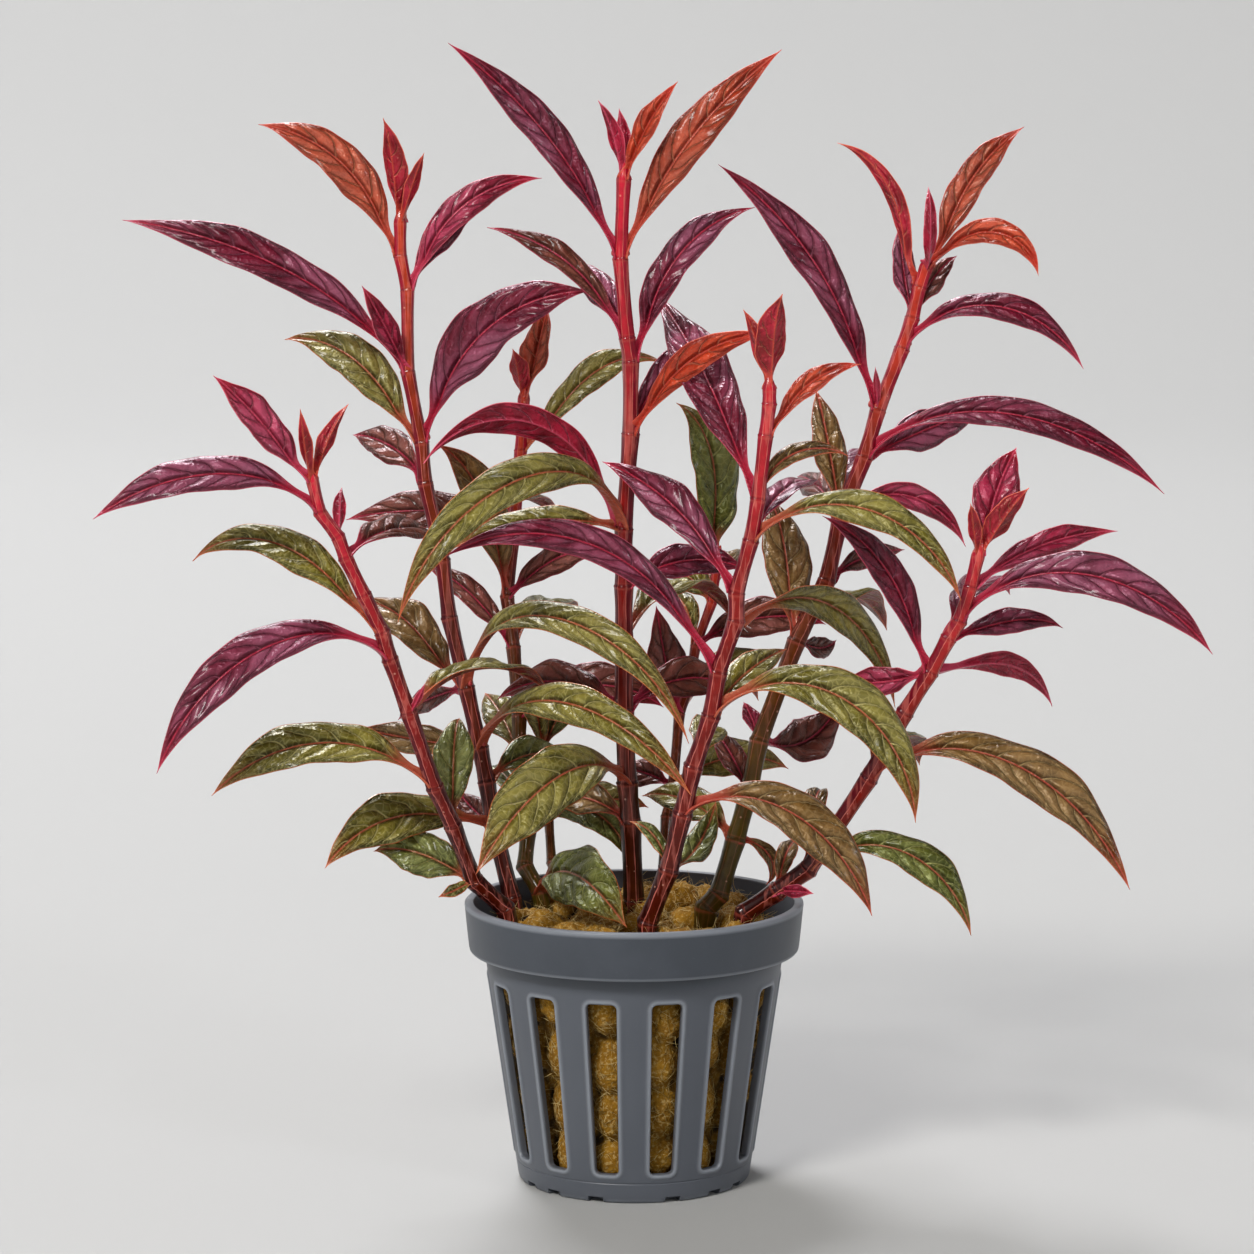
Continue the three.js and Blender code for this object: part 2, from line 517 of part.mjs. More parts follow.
function potWall() {
  const collarFoot = POT_HEIGHT - COLLAR_HEIGHT;
  const profile = [
    [0, 0],
    [FOOT_RADIUS - FOOT_BEVEL, 0],
    [FOOT_RADIUS, FOOT_BEVEL],
    [BODY_TOP_RADIUS, collarFoot],
    [COLLAR_FOOT_RADIUS, collarFoot],
    [RIM_RADIUS, POT_HEIGHT - LIP_EDGE],
    [RIM_RADIUS - LIP_EDGE, POT_HEIGHT],
    [RIM_RADIUS - LIP_WALL, POT_HEIGHT],
    [COLLAR_FOOT_RADIUS - LIP_WALL, collarFoot + WALL],
    [BODY_TOP_RADIUS - WALL, collarFoot - WALL],
    [FOOT_RADIUS - WALL, FLOOR],
    [0, FLOOR],
  ];
  const points = profile.map(([r, z]) => new THREE.Vector2(r, z));
  const lathe = new THREE.LatheGeometry(points, AROUND);
  lathe.rotateX(Math.PI / 2);
  return lathe;
}

function buildPot() {
  let pot = toSolid(potWall());
  const pitch = 360 / SLOTS;
  for (let i = 0; i < SLOTS; i += 1) {
    const cutter = slotCutter().rotateZ((i + 0.5) * pitch * degrees);
    pot = pot.subtract(toSolid(cutter));
  }
  const notchSides = NOTCH_ANGLES.flatMap((a) => [a, -a, 180 + a, 180 - a]);
  for (const angle of notchSides) {
    const notch = new THREE.BoxGeometry(NOTCH_WIDTH, 2 * NOTCH_DEPTH, 2 * NOTCH_HEIGHT);
    notch.translate(0, -FOOT_RADIUS, 0).rotateZ(angle * degrees);
    pot = pot.subtract(toSolid(notch));
  }
  for (let i = 0; i < DRAINS; i += 1) {
    const drain = new THREE.CylinderGeometry(DRAIN_RADIUS, DRAIN_RADIUS, 2 * FLOOR, DRAIN_SIDES);
    drain.rotateX(Math.PI / 2).translate(0, -DRAIN_RING, FLOOR / 2).rotateZ((i / DRAINS) * 360 * degrees);
    pot = pot.subtract(toSolid(drain));
  }
  return pot;
}

// The rock wool, a lumpy plug that fills the pot

function wallInside(z) {
  const collarFoot = POT_HEIGHT - COLLAR_HEIGHT;
  const share = Math.min(1, (z - FLOOR) / (collarFoot - WALL - FLOOR));
  const body = FOOT_RADIUS - WALL + share * (BODY_TOP_RADIUS - FOOT_RADIUS);
  return body * Math.cos(Math.PI / AROUND); // the wall's flats lie a little inside its round
}

// How high the crown stands over the wool's shoulder
function crownHeight(x, y) {
  const alongX = Math.cos(x * CROWN_WAVE[0] + CROWN_SHIFT[0]);
  const alongY = Math.cos(y * CROWN_WAVE[1] + CROWN_SHIFT[1] + x * CROWN_SKEW);
  const away = Math.hypot(x - MOUND_AT[0], y - MOUND_AT[1]) / MOUND_REACH;
  return CROWN_LUMP * Math.sqrt(Math.abs(alongX * alongY)) + MOUND_HEIGHT * Math.exp(-(away ** 2));
}

function buildWool() {
  const rings = [];
  const ringAt = (radiusOf, heightOf) => {
    const ring = [];
    for (let k = 0; k < AROUND; k += 1) {
      const angle = (k / AROUND) * 2 * Math.PI;
      const radius = radiusOf(angle);
      const x = radius * Math.cos(angle);
      const y = radius * Math.sin(angle);
      ring.push(new THREE.Vector3(x, y, heightOf(x, y)));
    }
    rings.push(ring);
  };
  ringAt(() => FOOT_RING, () => WOOL_FOOT);
  for (let j = 0; j <= WOOL_STEPS_UP; j += 1) {
    const up = j / WOOL_STEPS_UP;
    const z = WOOL_FOOT + up * (WOOL_TOP - WOOL_FOOT);
    ringAt((angle) => {
      const column = Math.abs(Math.sin((SLOTS / 2) * (angle + Math.PI / 2)));
      const row = Math.abs(Math.sin(up * LUMP_ROWS * Math.PI + Math.PI / 2));
      const bulge = Math.sqrt(column * (1 - ROW_SHARE + ROW_SHARE * row));
      const drawnIn = j === 0 || j === WOOL_STEPS_UP ? SHOULDER : 0;
      return wallInside(z) - WOOL_GAP - LUMP_CREASE * (1 - bulge) - drawnIn;
    }, () => z);
  }
  for (const radius of CROWN_RINGS) {
    ringAt(() => radius, (x, y) => WOOL_TOP + crownHeight(x, y));
  }
  return toSolid(skin(rings));
}

// Stems

function stemCentre(stem) {
  const [footX, footY] = stem.foot;
  const top = stem.joints[stem.joints.length - 1][1];
  const root = new THREE.Vector3(footX * ROOT_SHARE, footY * ROOT_SHARE, SOIL_LEVEL - STEM_ROOT);
  const points = [root, new THREE.Vector3(footX, footY, SOIL_LEVEL)];
  for (const [x, z] of stem.joints) {
    const up = (z - SOIL_LEVEL) / (top - SOIL_LEVEL);
    const y = footY + stem.lean * (1 - (1 - up) ** LEAN_CURVE);
    points.push(new THREE.Vector3(x, y, z));
  }
  return points;
}

function stemRadius(stem, joint) {
  const share = joint / stem.joints.length;
  return (stem.thick + (stem.thin - stem.thick) * Math.max(0, share)) / 2;
}

// A stem swells at its joints and narrows between them. Extra makes it fatter all over.
function stemSolid(stem, extra) {
  const centres = stemCentre(stem);
  const stations = [];
  centres.forEach((centre, i) => {
    const joint = i - 1;
    const swell = i < 2 ? 1 : JOINT_SWELL;
    stations.push([centre, stemRadius(stem, joint) * swell + extra]);
    const nextFar = i < centres.length - 1 && centre.distanceTo(centres[i + 1]) > LONG_INTERNODE;
    if (i > 0 && nextFar) {
      const middle = centre.clone().lerp(centres[i + 1], 0.5);
      stations.push([middle, stemRadius(stem, joint + 0.5) * WAIST + extra]);
    }
  });
  const rings = stations.map(([centre, radius], i) => {
    const before = stations[Math.max(0, i - 1)][0];
    const after = stations[Math.min(stations.length - 1, i + 1)][0];
    const along = after.clone().sub(before).normalize();
    const across = new THREE.Vector3(1, 0, 0).cross(along).negate().normalize();
    const third = along.clone().cross(across);
    const ring = [];
    for (let k = 0; k < STEM_SIDES; k += 1) {
      const angle = (k / STEM_SIDES) * 2 * Math.PI;
      const point = centre.clone();
      point.addScaledVector(across, radius * Math.cos(angle));
      point.addScaledVector(third, radius * Math.sin(angle));
      ring.push(point);
    }
    return ring;
  });
  return toSolid(skin(rings));
}

// Leaves

// The midrib's points, with the blade's side and top directions at each
function leafPath(stem, leaf, startOut) {
  const ease = leaf.ease ?? 1;
  const swing = leaf.swing ?? 0;
  const start = stemCentre(stem)[leaf.at + 1].clone();
  start.x += startOut * Math.cos(leaf.head * degrees);
  start.y += startOut * Math.sin(leaf.head * degrees);
  const at = (share) => {
    const pitch = (leaf.rise - leaf.droop * share ** ease) * degrees;
    const heading = (leaf.head + swing * share) * degrees;
    const level = Math.cos(pitch);
    const along = new THREE.Vector3(level * Math.cos(heading), level * Math.sin(heading), Math.sin(pitch));
    const flatSide = new THREE.Vector3(Math.sin(heading), -Math.cos(heading), 0);
    const flatTop = flatSide.clone().cross(along);
    const roll = leaf.roll * degrees;
    const side = flatSide.clone().multiplyScalar(Math.cos(roll)).addScaledVector(flatTop, -Math.sin(roll));
    const top = flatTop.clone().multiplyScalar(Math.cos(roll)).addScaledVector(flatSide, Math.sin(roll));
    return { along, side, top };
  };
  const stations = [{ share: 0, point: start.clone(), ...at(0) }];
  const point = start.clone();
  for (let i = 0; i < PATH_STEPS; i += 1) {
    point.addScaledVector(at((i + 0.5) / PATH_STEPS).along, leaf.long / PATH_STEPS);
    const share = (i + 1) / PATH_STEPS;
    stations.push({ share, point: point.clone(), ...at(share) });
  }
  return stations;
}

// Half the blade's width as a share of its greatest: a lance shape with a drawn-out tip
function lance(share) {
  const blade = Math.max(0, (share - PETIOLE) / (1 - PETIOLE));
  const widest = LANCE_FOOT / (LANCE_FOOT + LANCE_TIP);
  const greatest = widest ** LANCE_FOOT * (1 - widest) ** LANCE_TIP;
  return (blade ** LANCE_FOOT * (1 - blade) ** LANCE_TIP) / greatest;
}

function leafSolid(stem, leaf, shares, startOut) {
  const path = leafPath(stem, leaf, startOut);
  const rings = shares.map((share) => {
    const { point, side, top } = path[Math.round(share * PATH_STEPS)];
    const half = Math.max((leaf.wide / 2) * lance(share), PETIOLE_HALF);
    const rise = share > PETIOLE ? CUP * half : 0;
    const rib = RIB_HALF * (1 - RIB_TAPER * share);
    const left = point.clone().addScaledVector(side, -half).addScaledVector(top, rise);
    const right = point.clone().addScaledVector(side, half).addScaledVector(top, rise);
    const upper = point.clone().addScaledVector(top, rib);
    const under = point.clone().addScaledVector(top, -rib);
    return [left, upper, right, under];
  });
  return toSolid(skin(rings, path[path.length - 1].point));
}

// The whole plant

const plant = new THREE.Group();
plant.name = "potted_stem_plant";

function addPiece(name, solid, color, roughness) {
  const material = new THREE.MeshStandardMaterial({ color, roughness, metalness: 0 });
  const mesh = new THREE.Mesh(toGeometry(solid), material);
  mesh.name = name;
  plant.add(mesh);
}

addPiece("net_pot", buildPot(), POT_COLOR, POT_ROUGHNESS);

let wool = buildWool();
for (const stem of STEMS) {
  wool = wool.subtract(stemSolid(stem, STEM_CLEARANCE));
}
addPiece("rock_wool", wool, WOOL_COLOR, WOOL_ROUGHNESS);

for (const stem of STEMS) {
  let body = stemSolid(stem, 0);
  for (const sprig of stem.sprigs) {
    const startOut = stemRadius(stem, sprig.at) * SPRIG_ROOT;
    body = body.add(leafSolid(stem, sprig, SPRIG_STATIONS, startOut));
  }
  addPiece(`${stem.name}_stem`, body, STEM_COLOR, STEM_ROUGHNESS);
  stem.leaves.forEach((leaf, i) => {
    const startOut = stemRadius(stem, leaf.at) * JOINT_SWELL + PETIOLE_HALF + TOUCH_GAP;
    const solid = leafSolid(stem, leaf, LEAF_STATIONS, startOut);
    addPiece(`${stem.name}_leaf_${i + 1}`, solid, leaf.tone, LEAF_ROUGHNESS);
  });
}

export default plant;
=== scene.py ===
# Potted stem plant with lance-shaped red and olive leaves, rooted in rock wool in a grey net pot.
# Sizes in the tables are millimetres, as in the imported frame. Blender's own unit is the metre.
import math
import random

import bmesh
import bpy
import numpy as np
from mathutils import Matrix, Vector, noise


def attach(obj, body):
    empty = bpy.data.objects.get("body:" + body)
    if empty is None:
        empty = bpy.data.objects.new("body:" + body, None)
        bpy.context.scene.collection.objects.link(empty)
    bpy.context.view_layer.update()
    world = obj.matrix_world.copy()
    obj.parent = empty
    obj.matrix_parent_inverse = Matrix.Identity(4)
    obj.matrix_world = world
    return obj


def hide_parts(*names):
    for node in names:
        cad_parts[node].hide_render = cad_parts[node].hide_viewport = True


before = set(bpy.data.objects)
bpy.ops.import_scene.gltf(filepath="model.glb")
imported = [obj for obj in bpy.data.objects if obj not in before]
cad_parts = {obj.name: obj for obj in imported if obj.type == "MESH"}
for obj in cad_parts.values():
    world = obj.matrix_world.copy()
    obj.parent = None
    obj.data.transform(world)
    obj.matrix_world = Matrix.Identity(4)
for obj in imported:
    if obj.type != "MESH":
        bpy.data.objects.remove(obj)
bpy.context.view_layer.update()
print("frame loaded:", len(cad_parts), "nodes")

mm = 0.001
wholeTurn = 6.28
plantSeed = 27
noise.seed_set(plantSeed)  # otherwise the noise vectors differ from run to run


def placed(name, data):
    piece = bpy.data.objects.new(name, data)
    bpy.context.scene.collection.objects.link(piece)
    return piece


# Camera: a long lens in front of the pot, looking a little down

cameraLook = {
    "place": (-0.00104, -0.600, 0.1592),
    "lookDown": 0.128,  # radians below the horizon
    "lens": 118.75,
}


def addCamera():
    cameraData = bpy.data.cameras.new("portraitCamera")
    cameraData.lens = cameraLook["lens"]
    cameraData.clip_start = 0.01
    cameraData.clip_end = 50
    camera = placed("portraitCamera", cameraData)
    camera.location = cameraLook["place"]
    camera.rotation_euler = (math.pi / 2 - cameraLook["lookDown"], 0, 0)
    bpy.context.scene.camera = camera


addCamera()


# The plant's table, printed by a scratch program from the one that the solids were made from.
# Most of that one's numbers were fitted by scratch programs to points read by eye on the photograph.
# Each stem, from the picture's left to its right, then those behind.
# foot: x and y where it leaves the wool. lean: how far its tip is behind its foot.
# joints: x and height of each joint, seen from the front.
# A leaf's row: the joint it grows from, its heading, rise and droop in degrees, the droop's ease,
# its length and width, its roll and swing in degrees, and its tone.
# The leaves are pieces of their own. The sprigs, small or hidden leaves, are one with their stem.
stemTable = {
    "left_front": {
        "foot": (-19, 0.5), "lean": -18, "thick": 2.6, "thin": 1.7,
        "joints": [
            (-23.5, 44.5), (-26.5, 53.5), (-29, 59.5), (-32.5, 71), (-35, 79), (-36, 83), (-38.5, 88.5),
            (-41, 94), (-42, 97), (-44.5, 100.5), (-45.5, 105),
        ],
        "leaves": [
            (2, 91, 86, 81, 2, 18, 6, 0, -8, "moss"), (3, -172, 64, 109, 0.7, 34.5, 7.5, -50, 5, "olive"),
            (5, -161, 88, 155, 0.4, 42, 7, -50, 3, "plum"), (6, 169, 58, 102, 1.6, 33, 6, -50, -8, "olive"),
            (10, -167, 88, 123, 0.4, 33.5, 6, -55, -7, "plum"),
            (11, -167, 66, 25, 0.7, 19.5, 5.5, -65, 0, "crimson"),
        ],
        "sprigs": [
            (1, -146, -21, -12, 1.6, 6, 2, -50, 0, "olive"), (1, 166, 30, 48, 2, 16, 7, -60, 0, "moss"),
            (4, -52, 44, -14, 1, 6, 1, -35, 0, "crimson"), (4, 43, 42, 85, 1, 30, 7.5, 0, 0, "olive"),
            (8, 55, 30, 60, 1, 24, 6.5, 25, 0, "dusk"), (9, 89, 66, 40, 1, 9, 2, -160, 0, "crimson"),
            (11, -111, 66, -13, 1.2, 11, 2, 5, 0, "ember"), (11, 23, 77, 25, 1, 12, 2.5, -80, 0, "ember"),
        ],
    },
    "left_tall": {
        "foot": (-18.3, 8.6), "lean": 4, "thick": 2.7, "thin": 1.8,
        "joints": [
            (-21, 51), (-22, 57.5), (-23, 62.5), (-25, 71.5), (-27.5, 82), (-28.5, 90.5), (-31, 102),
            (-31.5, 108), (-33.5, 118.5), (-33.5, 130.5), (-34.5, 135.5), (-34.5, 140.5),
        ],
        "leaves": [
            (1, -152, 24, 76, 1.3, 28, 7.5, -60, 3, "olive"),
            (3, -58, 79, 132, 0.6, 46, 6, 60, 41, "olive"),
            (4, -65, 88, 158, 0.7, 54, 5.5, 55, 60, "olive"),
            (4, 146, 52, 58, 2, 22.5, 7, -35, 0, "bronze"), (8, -9, 88, 88, 1, 36, 9, 70, 0, "plum"),
            (8, 156, 65, 74, 1.5, 27.5, 7, -50, 2, "olive"),
            (9, -176, 83, 76, 0.4, 48.5, 6.5, -60, -19, "plum"),
            (10, 9, 88, 87, 0.9, 27, 5, 60, 0, "crimson"), (11, 169, 83, 76, 1, 29.5, 6.5, -60, 5, "rust"),
        ],
        "sprigs": [
            (1, 124, 11, -20, 1, 10.5, 4, -40, 0, "dusk"), (2, 40, 40, 75, 1, 18, 6, 50, 0, "moss"),
            (3, 147, -1, -6, 0.6, 22.5, 5, -65, 0, "bronze"), (4, 128, -15, 20, 2, 19, 3.5, -95, 0, "dusk"),
            (6, 55, 50, 85, 1, 33, 7.5, 0, 0, "bronze"), (7, 131, 63, 65, 0.5, 19, 5.5, -50, 0, "dusk"),
            (9, -130, 59, 9, 1, 16, 3.5, -115, 0, "crimson"), (10, 42, 62, 40, 1, 22, 4.5, 50, 0, "plum"),
            (12, -142, 86, 16, 1.9, 15.5, 4, 25, 0, "ember"), (12, -58, 60, 9, 1, 12.5, 2, -25, 0, "ember"),
            (12, 97, 86, 3, 1.1, 12, 1.5, 145, 0, "crimson"),
        ],
    },
    "middle_tall": {
        "foot": (0, 6.5), "lean": -4, "thick": 3.1, "thin": 2,
        "joints": [
            (-0.5, 52), (-1, 58), (-1.5, 69), (-1.5, 79.5), (-1.5, 87.5), (-1.5, 96), (-0.5, 110),
            (-0.5, 120.5), (-1, 124), (-2, 135.5), (-1.5, 147),
        ],
        "leaves": [
            (2, -122, 86, 143, 0.4, 36, 9.5, -55, -24, "olive"),
            (6, -150, 82, 131, 1.1, 41.5, 5, 70, 0, "crimson"),
            (6, -118, 87, 160, 0.6, 53.5, 6.5, -60, -52, "olive"),
            (7, -38, 76, 71, 0.8, 27.5, 4.5, 90, 15, "ember"), (8, 23, 89, 79, 1.1, 31, 5.5, 50, 0, "plum"),
            (9, 157, 88, 80, 0.6, 27.5, 4, -50, 0, "dusk"),
            (10, -172, 89, 53, 0.5, 39.5, 6, -65, -4, "plum"), (10, 5, 89, 52, 0.5, 38, 6.5, 60, 6, "rust"),
        ],
        "sprigs": [
            (1, 160, 40, 60, 1, 16, 5.5, -55, 0, "bronze"), (3, 30, 40, 75, 1, 22, 6.5, 55, 0, "dusk"),
            (3, 150, 35, 70, 1, 23, 6.5, -55, 0, "dusk"), (4, 58, 45, 90, 1, 34, 8, 0, 0, "olive"),
            (5, 20, 35, 60, 1, 20, 5.5, 60, 0, "plum"), (6, 178, 17, 45, 0.9, 25.5, 5, -55, 0, "olive"),
            (7, 35, 72, 66, 1, 22, 4.5, 50, 0, "plum"), (9, 118, 52, 50, 1, 22, 4.5, -40, 0, "plum"),
            (11, -160, 86, 28, 1.1, 12, 2.5, 40, 0, "crimson"),
            (11, -8, 74, 24, 1, 16, 3.5, 70, 0, "ember"), (11, 97, 84, 41, 1, 11.5, 2.5, 155, 0, "crimson"),
        ],
    },
    "front": {
        "foot": (2, -9.5), "lean": -9, "thick": 3, "thin": 1.9,
        "joints": [
            (5, 48), (7, 56.5), (8.5, 63.5), (11, 71), (12, 77.5), (14.5, 85), (14.5, 89), (16.5, 96.5),
            (17.5, 102.5), (18.5, 111.5), (19, 116), (19, 118),
        ],
        "leaves": [
            (2, -16, 82, 152, 0.4, 34, 8, 45, 3, "bronze"), (4, -15, 76, 162, 0.6, 40.5, 8, 50, 0, "olive"),
            (5, -178, 74, 105, 1.1, 47, 5.5, -60, 0, "plum"),
            (6, 51, 23, 97, 1, 43.5, 5.5, 100, -7, "olive"), (7, 138, 83, 69, 0.5, 30, 6, -45, 3, "plum"),
            (8, -11, 75, 143, 0.6, 35.5, 5.5, 55, 3, "olive"), (9, 112, 51, 26, 0.9, 45, 8, -18, 0, "plum"),
            (10, 23, 86, 83, 0.7, 17.5, 3.5, 45, 0, "ember"),
        ],
        "sprigs": [
            (1, 64, -3, -60, 1.1, 18.5, 4.5, 25, 0, "moss"), (1, 143, 86, 84, 1, 10, 2.5, -30, 0, "moss"),
            (3, 75, 45, 70, 1, 17, 5.5, 30, 0, "olive"), (4, 52, 56, 49, 0.5, 20, 5, 40, 0, "olive"),
            (8, 60, 50, 70, 1, 24, 6, 0, 0, "plum"), (9, 22, 87, 114, 0.8, 17, 3, 50, -5, "bronze"),
            (12, -61, 87, 26, 2, 14, 5, -5, 4, "ember"), (12, 138, 80, 24, 1, 12, 3, 100, 0, "ember"),
        ],
    },
    "right_tall": {
        "foot": (10.6, 0.5), "lean": 10, "thick": 3.1, "thin": 1.9,
        "joints": [
            (12.5, 42), (15, 50), (17, 57), (18.5, 64.5), (24, 79), (28.5, 88), (30.5, 97), (34, 106),
            (36, 113), (39.5, 122), (41, 126.5), (42, 131), (43, 134),
        ],
        "leaves": [
            (5, 108, 86, 59, 1.7, 23.5, 7.5, 0, 0, "bronze"),
            (8, -8, 88, 131, 0.4, 47.5, 5.5, 55, 2, "plum"),
            (9, -172, 89, 54, 0.8, 43.5, 6, -70, -15, "plum"),
            (10, -11, 88, 148, 0.6, 31, 4.5, 60, 0, "plum"),
            (12, 160, 89, 73, 1.8, 25.5, 3, 75, 4, "ember"),
            (13, -21, 65, 144, 1.1, 20.5, 4, 65, -3, "ember"), (13, 29, 75, 46, 1.2, 26, 5, 50, -4, "rust"),
        ],
        "sprigs": [
            (2, 0, -6, 127, 1.4, 10, 2.5, 55, 0, "bronze"), (2, 140, 45, 60, 1, 19, 6, -40, 0, "olive"),
            (3, 115, 47, 25, 1, 13.5, 4, -25, 0, "dusk"), (4, 48, -24, -82, 1.2, 20, 7, 55, -4, "dusk"),
            (4, 109, 54, 32, 1, 8, 2.5, -15, 0, "crimson"),
            (5, 53, -21, -47, 1.9, 10.5, 3.5, 75, 0, "dusk"), (5, 60, 42, 90, 1, 33, 8, 0, 0, "olive"),
            (6, 49, 34, 37, 0.5, 19, 3.5, 60, 0, "dusk"), (7, 27, 56, 117, 0.7, 25.5, 4, 80, 0, "crimson"),
            (7, 85, 48, 80, 1, 34, 7.5, 0, 0, "plum"), (7, 101, 21, 26, 1, 28, 5, -35, 0, "dusk"),
            (7, 102, 63, 23, 1, 23.5, 5, -5, 0, "bronze"), (8, 40, 18, 8, 1.1, 25, 6, 60, 0, "plum"),
            (9, -99, 71, 27, 1, 8, 1, 0, 0, "crimson"), (11, 37, 69, 43, 1, 12.5, 4, 35, 0, "dusk"),
            (11, 112, 63, -19, 1, 14.5, 4, 0, 0, "plum"), (13, -88, 13, -150, 1.1, 16, 2, 0, 0, "crimson"),
        ],
    },
    "right_low": {
        "foot": (16.3, -3), "lean": -11, "thick": 3, "thin": 1.9,
        "joints": [
            (21, 43.5), (25.5, 47), (34, 61), (39, 71), (42.5, 77), (45, 82), (46.5, 84.5), (48, 89.5),
            (49, 94),
        ],
        "leaves": [
            (2, -16, 74, 150, 0.6, 29.5, 6, 45, 0, "moss"),
            (3, -8, 88, 152, 0.4, 45.5, 7.5, 50, -15, "bronze"),
            (5, -161, 88, 63, 1.1, 28.5, 5, -80, -6, "plum"),
            (5, 31, 8, 74, 1.8, 24, 3.5, -80, 11, "crimson"),
            (7, -10, 88, 140, 0.5, 40.5, 7, 55, 0, "plum"),
            (9, 59, 89, 45, 0.5, 17.5, 6.5, 25, -8, "crimson"),
        ],
        "sprigs": [
            (1, -57, 12, 9, 1, 8.5, 2, 70, 0, "crimson"), (1, 69, 76, 80, 1, 11.5, 3, 15, 0, "bronze"),
            (2, 75, 86, 142, 1.9, 18, 3.5, 5, 0, "bronze"), (3, 70, 38, 85, 1, 29, 7.5, 0, 0, "olive"),
            (5, 136, -22, -22, 0.8, 18, 4.5, -75, 0, "crimson"),
            (6, 24, 14, 43, 2.6, 18.5, 4, 60, -4, "plum"), (6, 65, 48, 80, 1, 28, 6.5, 0, 0, "plum"),
            (8, 32, 33, 36, 0.9, 27.5, 4, 60, 0, "crimson"), (9, -113, 68, 2, 1, 8.5, 2, 5, 0, "ember"),
            (9, -9, 63, 15, 1, 12, 4, -60, 0, "ember"),
        ],
    },
    "back_left": {
        "foot": (-14.2, 13.5), "lean": 26, "thick": 2.4, "thin": 1.7,
        "joints": [
            (-16.5, 43.5), (-16, 48.5), (-17.5, 58.5), (-17.5, 65), (-18.5, 75), (-19.5, 82.5),
            (-18.5, 92), (-17.5, 104.5), (-17, 112.5),
        ],
        "leaves": [
            (0, -72, 70, 104, 0.5, 31, 9.5, 55, 16, "moss"), (2, -33, 73, 150, 0.8, 22, 5.5, 55, 0, "moss"),
            (8, 13, 57, 85, 2.3, 27.5, 5.5, 50, 3, "olive"),
        ],
        "sprigs": [
            (2, 110, 52, 80, 1, 26, 6.5, 0, 0, "moss"), (3, 111, 63, 52, 0.5, 18, 6, -20, 0, "olive"),
            (4, -10, 45, 80, 1, 24, 7, 60, 0, "dusk"), (5, 70, 42, 85, 1, 30, 7, 0, 0, "olive"),
            (5, 157, 55, 41, 1.5, 20, 4.5, -40, 0, "dusk"), (6, -149, 80, 55, 2.3, 28, 7, -90, 3, "bronze"),
            (6, -21, 44, 61, 2, 19, 5, 75, 0, "dusk"), (7, 95, 50, 80, 1, 28, 6.5, 0, 0, "plum"),
            (7, 170, 39, 53, 0.5, 27, 7, -55, 0, "dusk"), (9, -145, 83, 11, 1, 8, 3.5, 30, 0, "ember"),
            (9, 16, 74, -4, 1, 15, 5, 45, 0, "rust"),
        ],
    },
    "back_right": {
        "foot": (4.3, 17), "lean": 16, "thick": 1.8, "thin": 1.5,
        "joints": [
            (5, 50), (6, 54.5), (7, 65), (8.5, 69), (9.5, 75), (12, 81.5), (13, 88),
        ],
        "leaves": [
            (7, 155, 98, 72, 2.4, 26.5, 8.5, -35, 0, "moss"),
        ],
        "sprigs": [
            (2, 144, 22, 24, 1, 10.5, 4.5, -60, 0, "dusk"), (2, 20, 40, 70, 1, 20, 6.5, 55, 0, "olive"),
            (3, -129, 66, -13, 1, 18, 6, -115, 0, "dusk"), (3, 60, 40, 85, 1, 28, 7, 0, 0, "olive"),
            (4, 36, 26, 15, 1, 14.5, 5, 55, 0, "olive"), (5, 113, 80, 97, 1, 14.5, 4, -25, 0, "olive"),
            (5, 0, 40, 60, 1, 21, 6.5, 60, 0, "dusk"), (6, 80, 48, 80, 1, 26, 6, 0, 0, "bronze"),
            (6, 149, 64, 67, 1, 9.5, 5.5, -45, 0, "olive"),
        ],
    },
    "back_slim": {
        "foot": (-11, 16.5), "lean": 10, "thick": 1.6, "thin": 1.3,
        "joints": [
            (-12.5, 43.5), (-13, 49.5), (-14, 59),
        ],
        "leaves": [],
        "sprigs": [
            (2, -124, 58, 50, 1, 13.5, 4, -80, 0, "moss"), (2, 110, 42, 80, 1, 24, 6.5, 0, 0, "moss"),
            (2, 10, 35, 60, 1, 16, 5.5, 55, 0, "olive"), (3, -105, 79, 57, 1, 17, 4, -145, 0, "olive"),
            (3, 25, 71, 39, 1.2, 16, 6.5, 35, 0, "moss"),
        ],
    },
}

growth = {
    "soilLevel": 40,
    "rootDepth": 12,
    "rootShare": 0.85,  # how far the root end stands out, as a share of the foot
    "leanCurve": 1.5,
    "jointSwell": 1.12,
    "petioleShare": 0.09,
    "petioleHalf": 0.42,
    "touchGap": 0.3,
    "sprigStart": 0.3,
    "cup": 0.13,
    "lanceFoot": 1.15,  # how slowly the blade widens from its foot
    "lanceTip": 1.3,  # how long its tip is drawn out
}


def stemCentres(stem):
    footX, footY = stem["foot"]
    soil = growth["soilLevel"]
    tipHeight = stem["joints"][-1][1]
    share = growth["rootShare"]
    centres = [(footX * share, footY * share, soil - growth["rootDepth"]), (footX, footY, soil)]
    for x, z in stem["joints"]:
        up = (z - soil) / (tipHeight - soil)
        centres.append((x, footY + stem["lean"] * (1 - (1 - up) ** growth["leanCurve"]), z))
    return np.array(centres, float)


def stemRadius(stem, joint):
    share = max(0, joint / len(stem["joints"]))
    return (stem["thick"] + (stem["thin"] - stem["thick"]) * share) / 2


def atCrown(stem, row):
    return row[0] == len(stem["joints"])


def lance(blade):
    foot, tip = growth["lanceFoot"], growth["lanceTip"]
    widest = foot / (foot + tip)
    greatest = widest ** foot * (1 - widest) ** tip
    blade = np.clip(blade, 0, 1)
    return blade ** foot * (1 - blade) ** tip / greatest


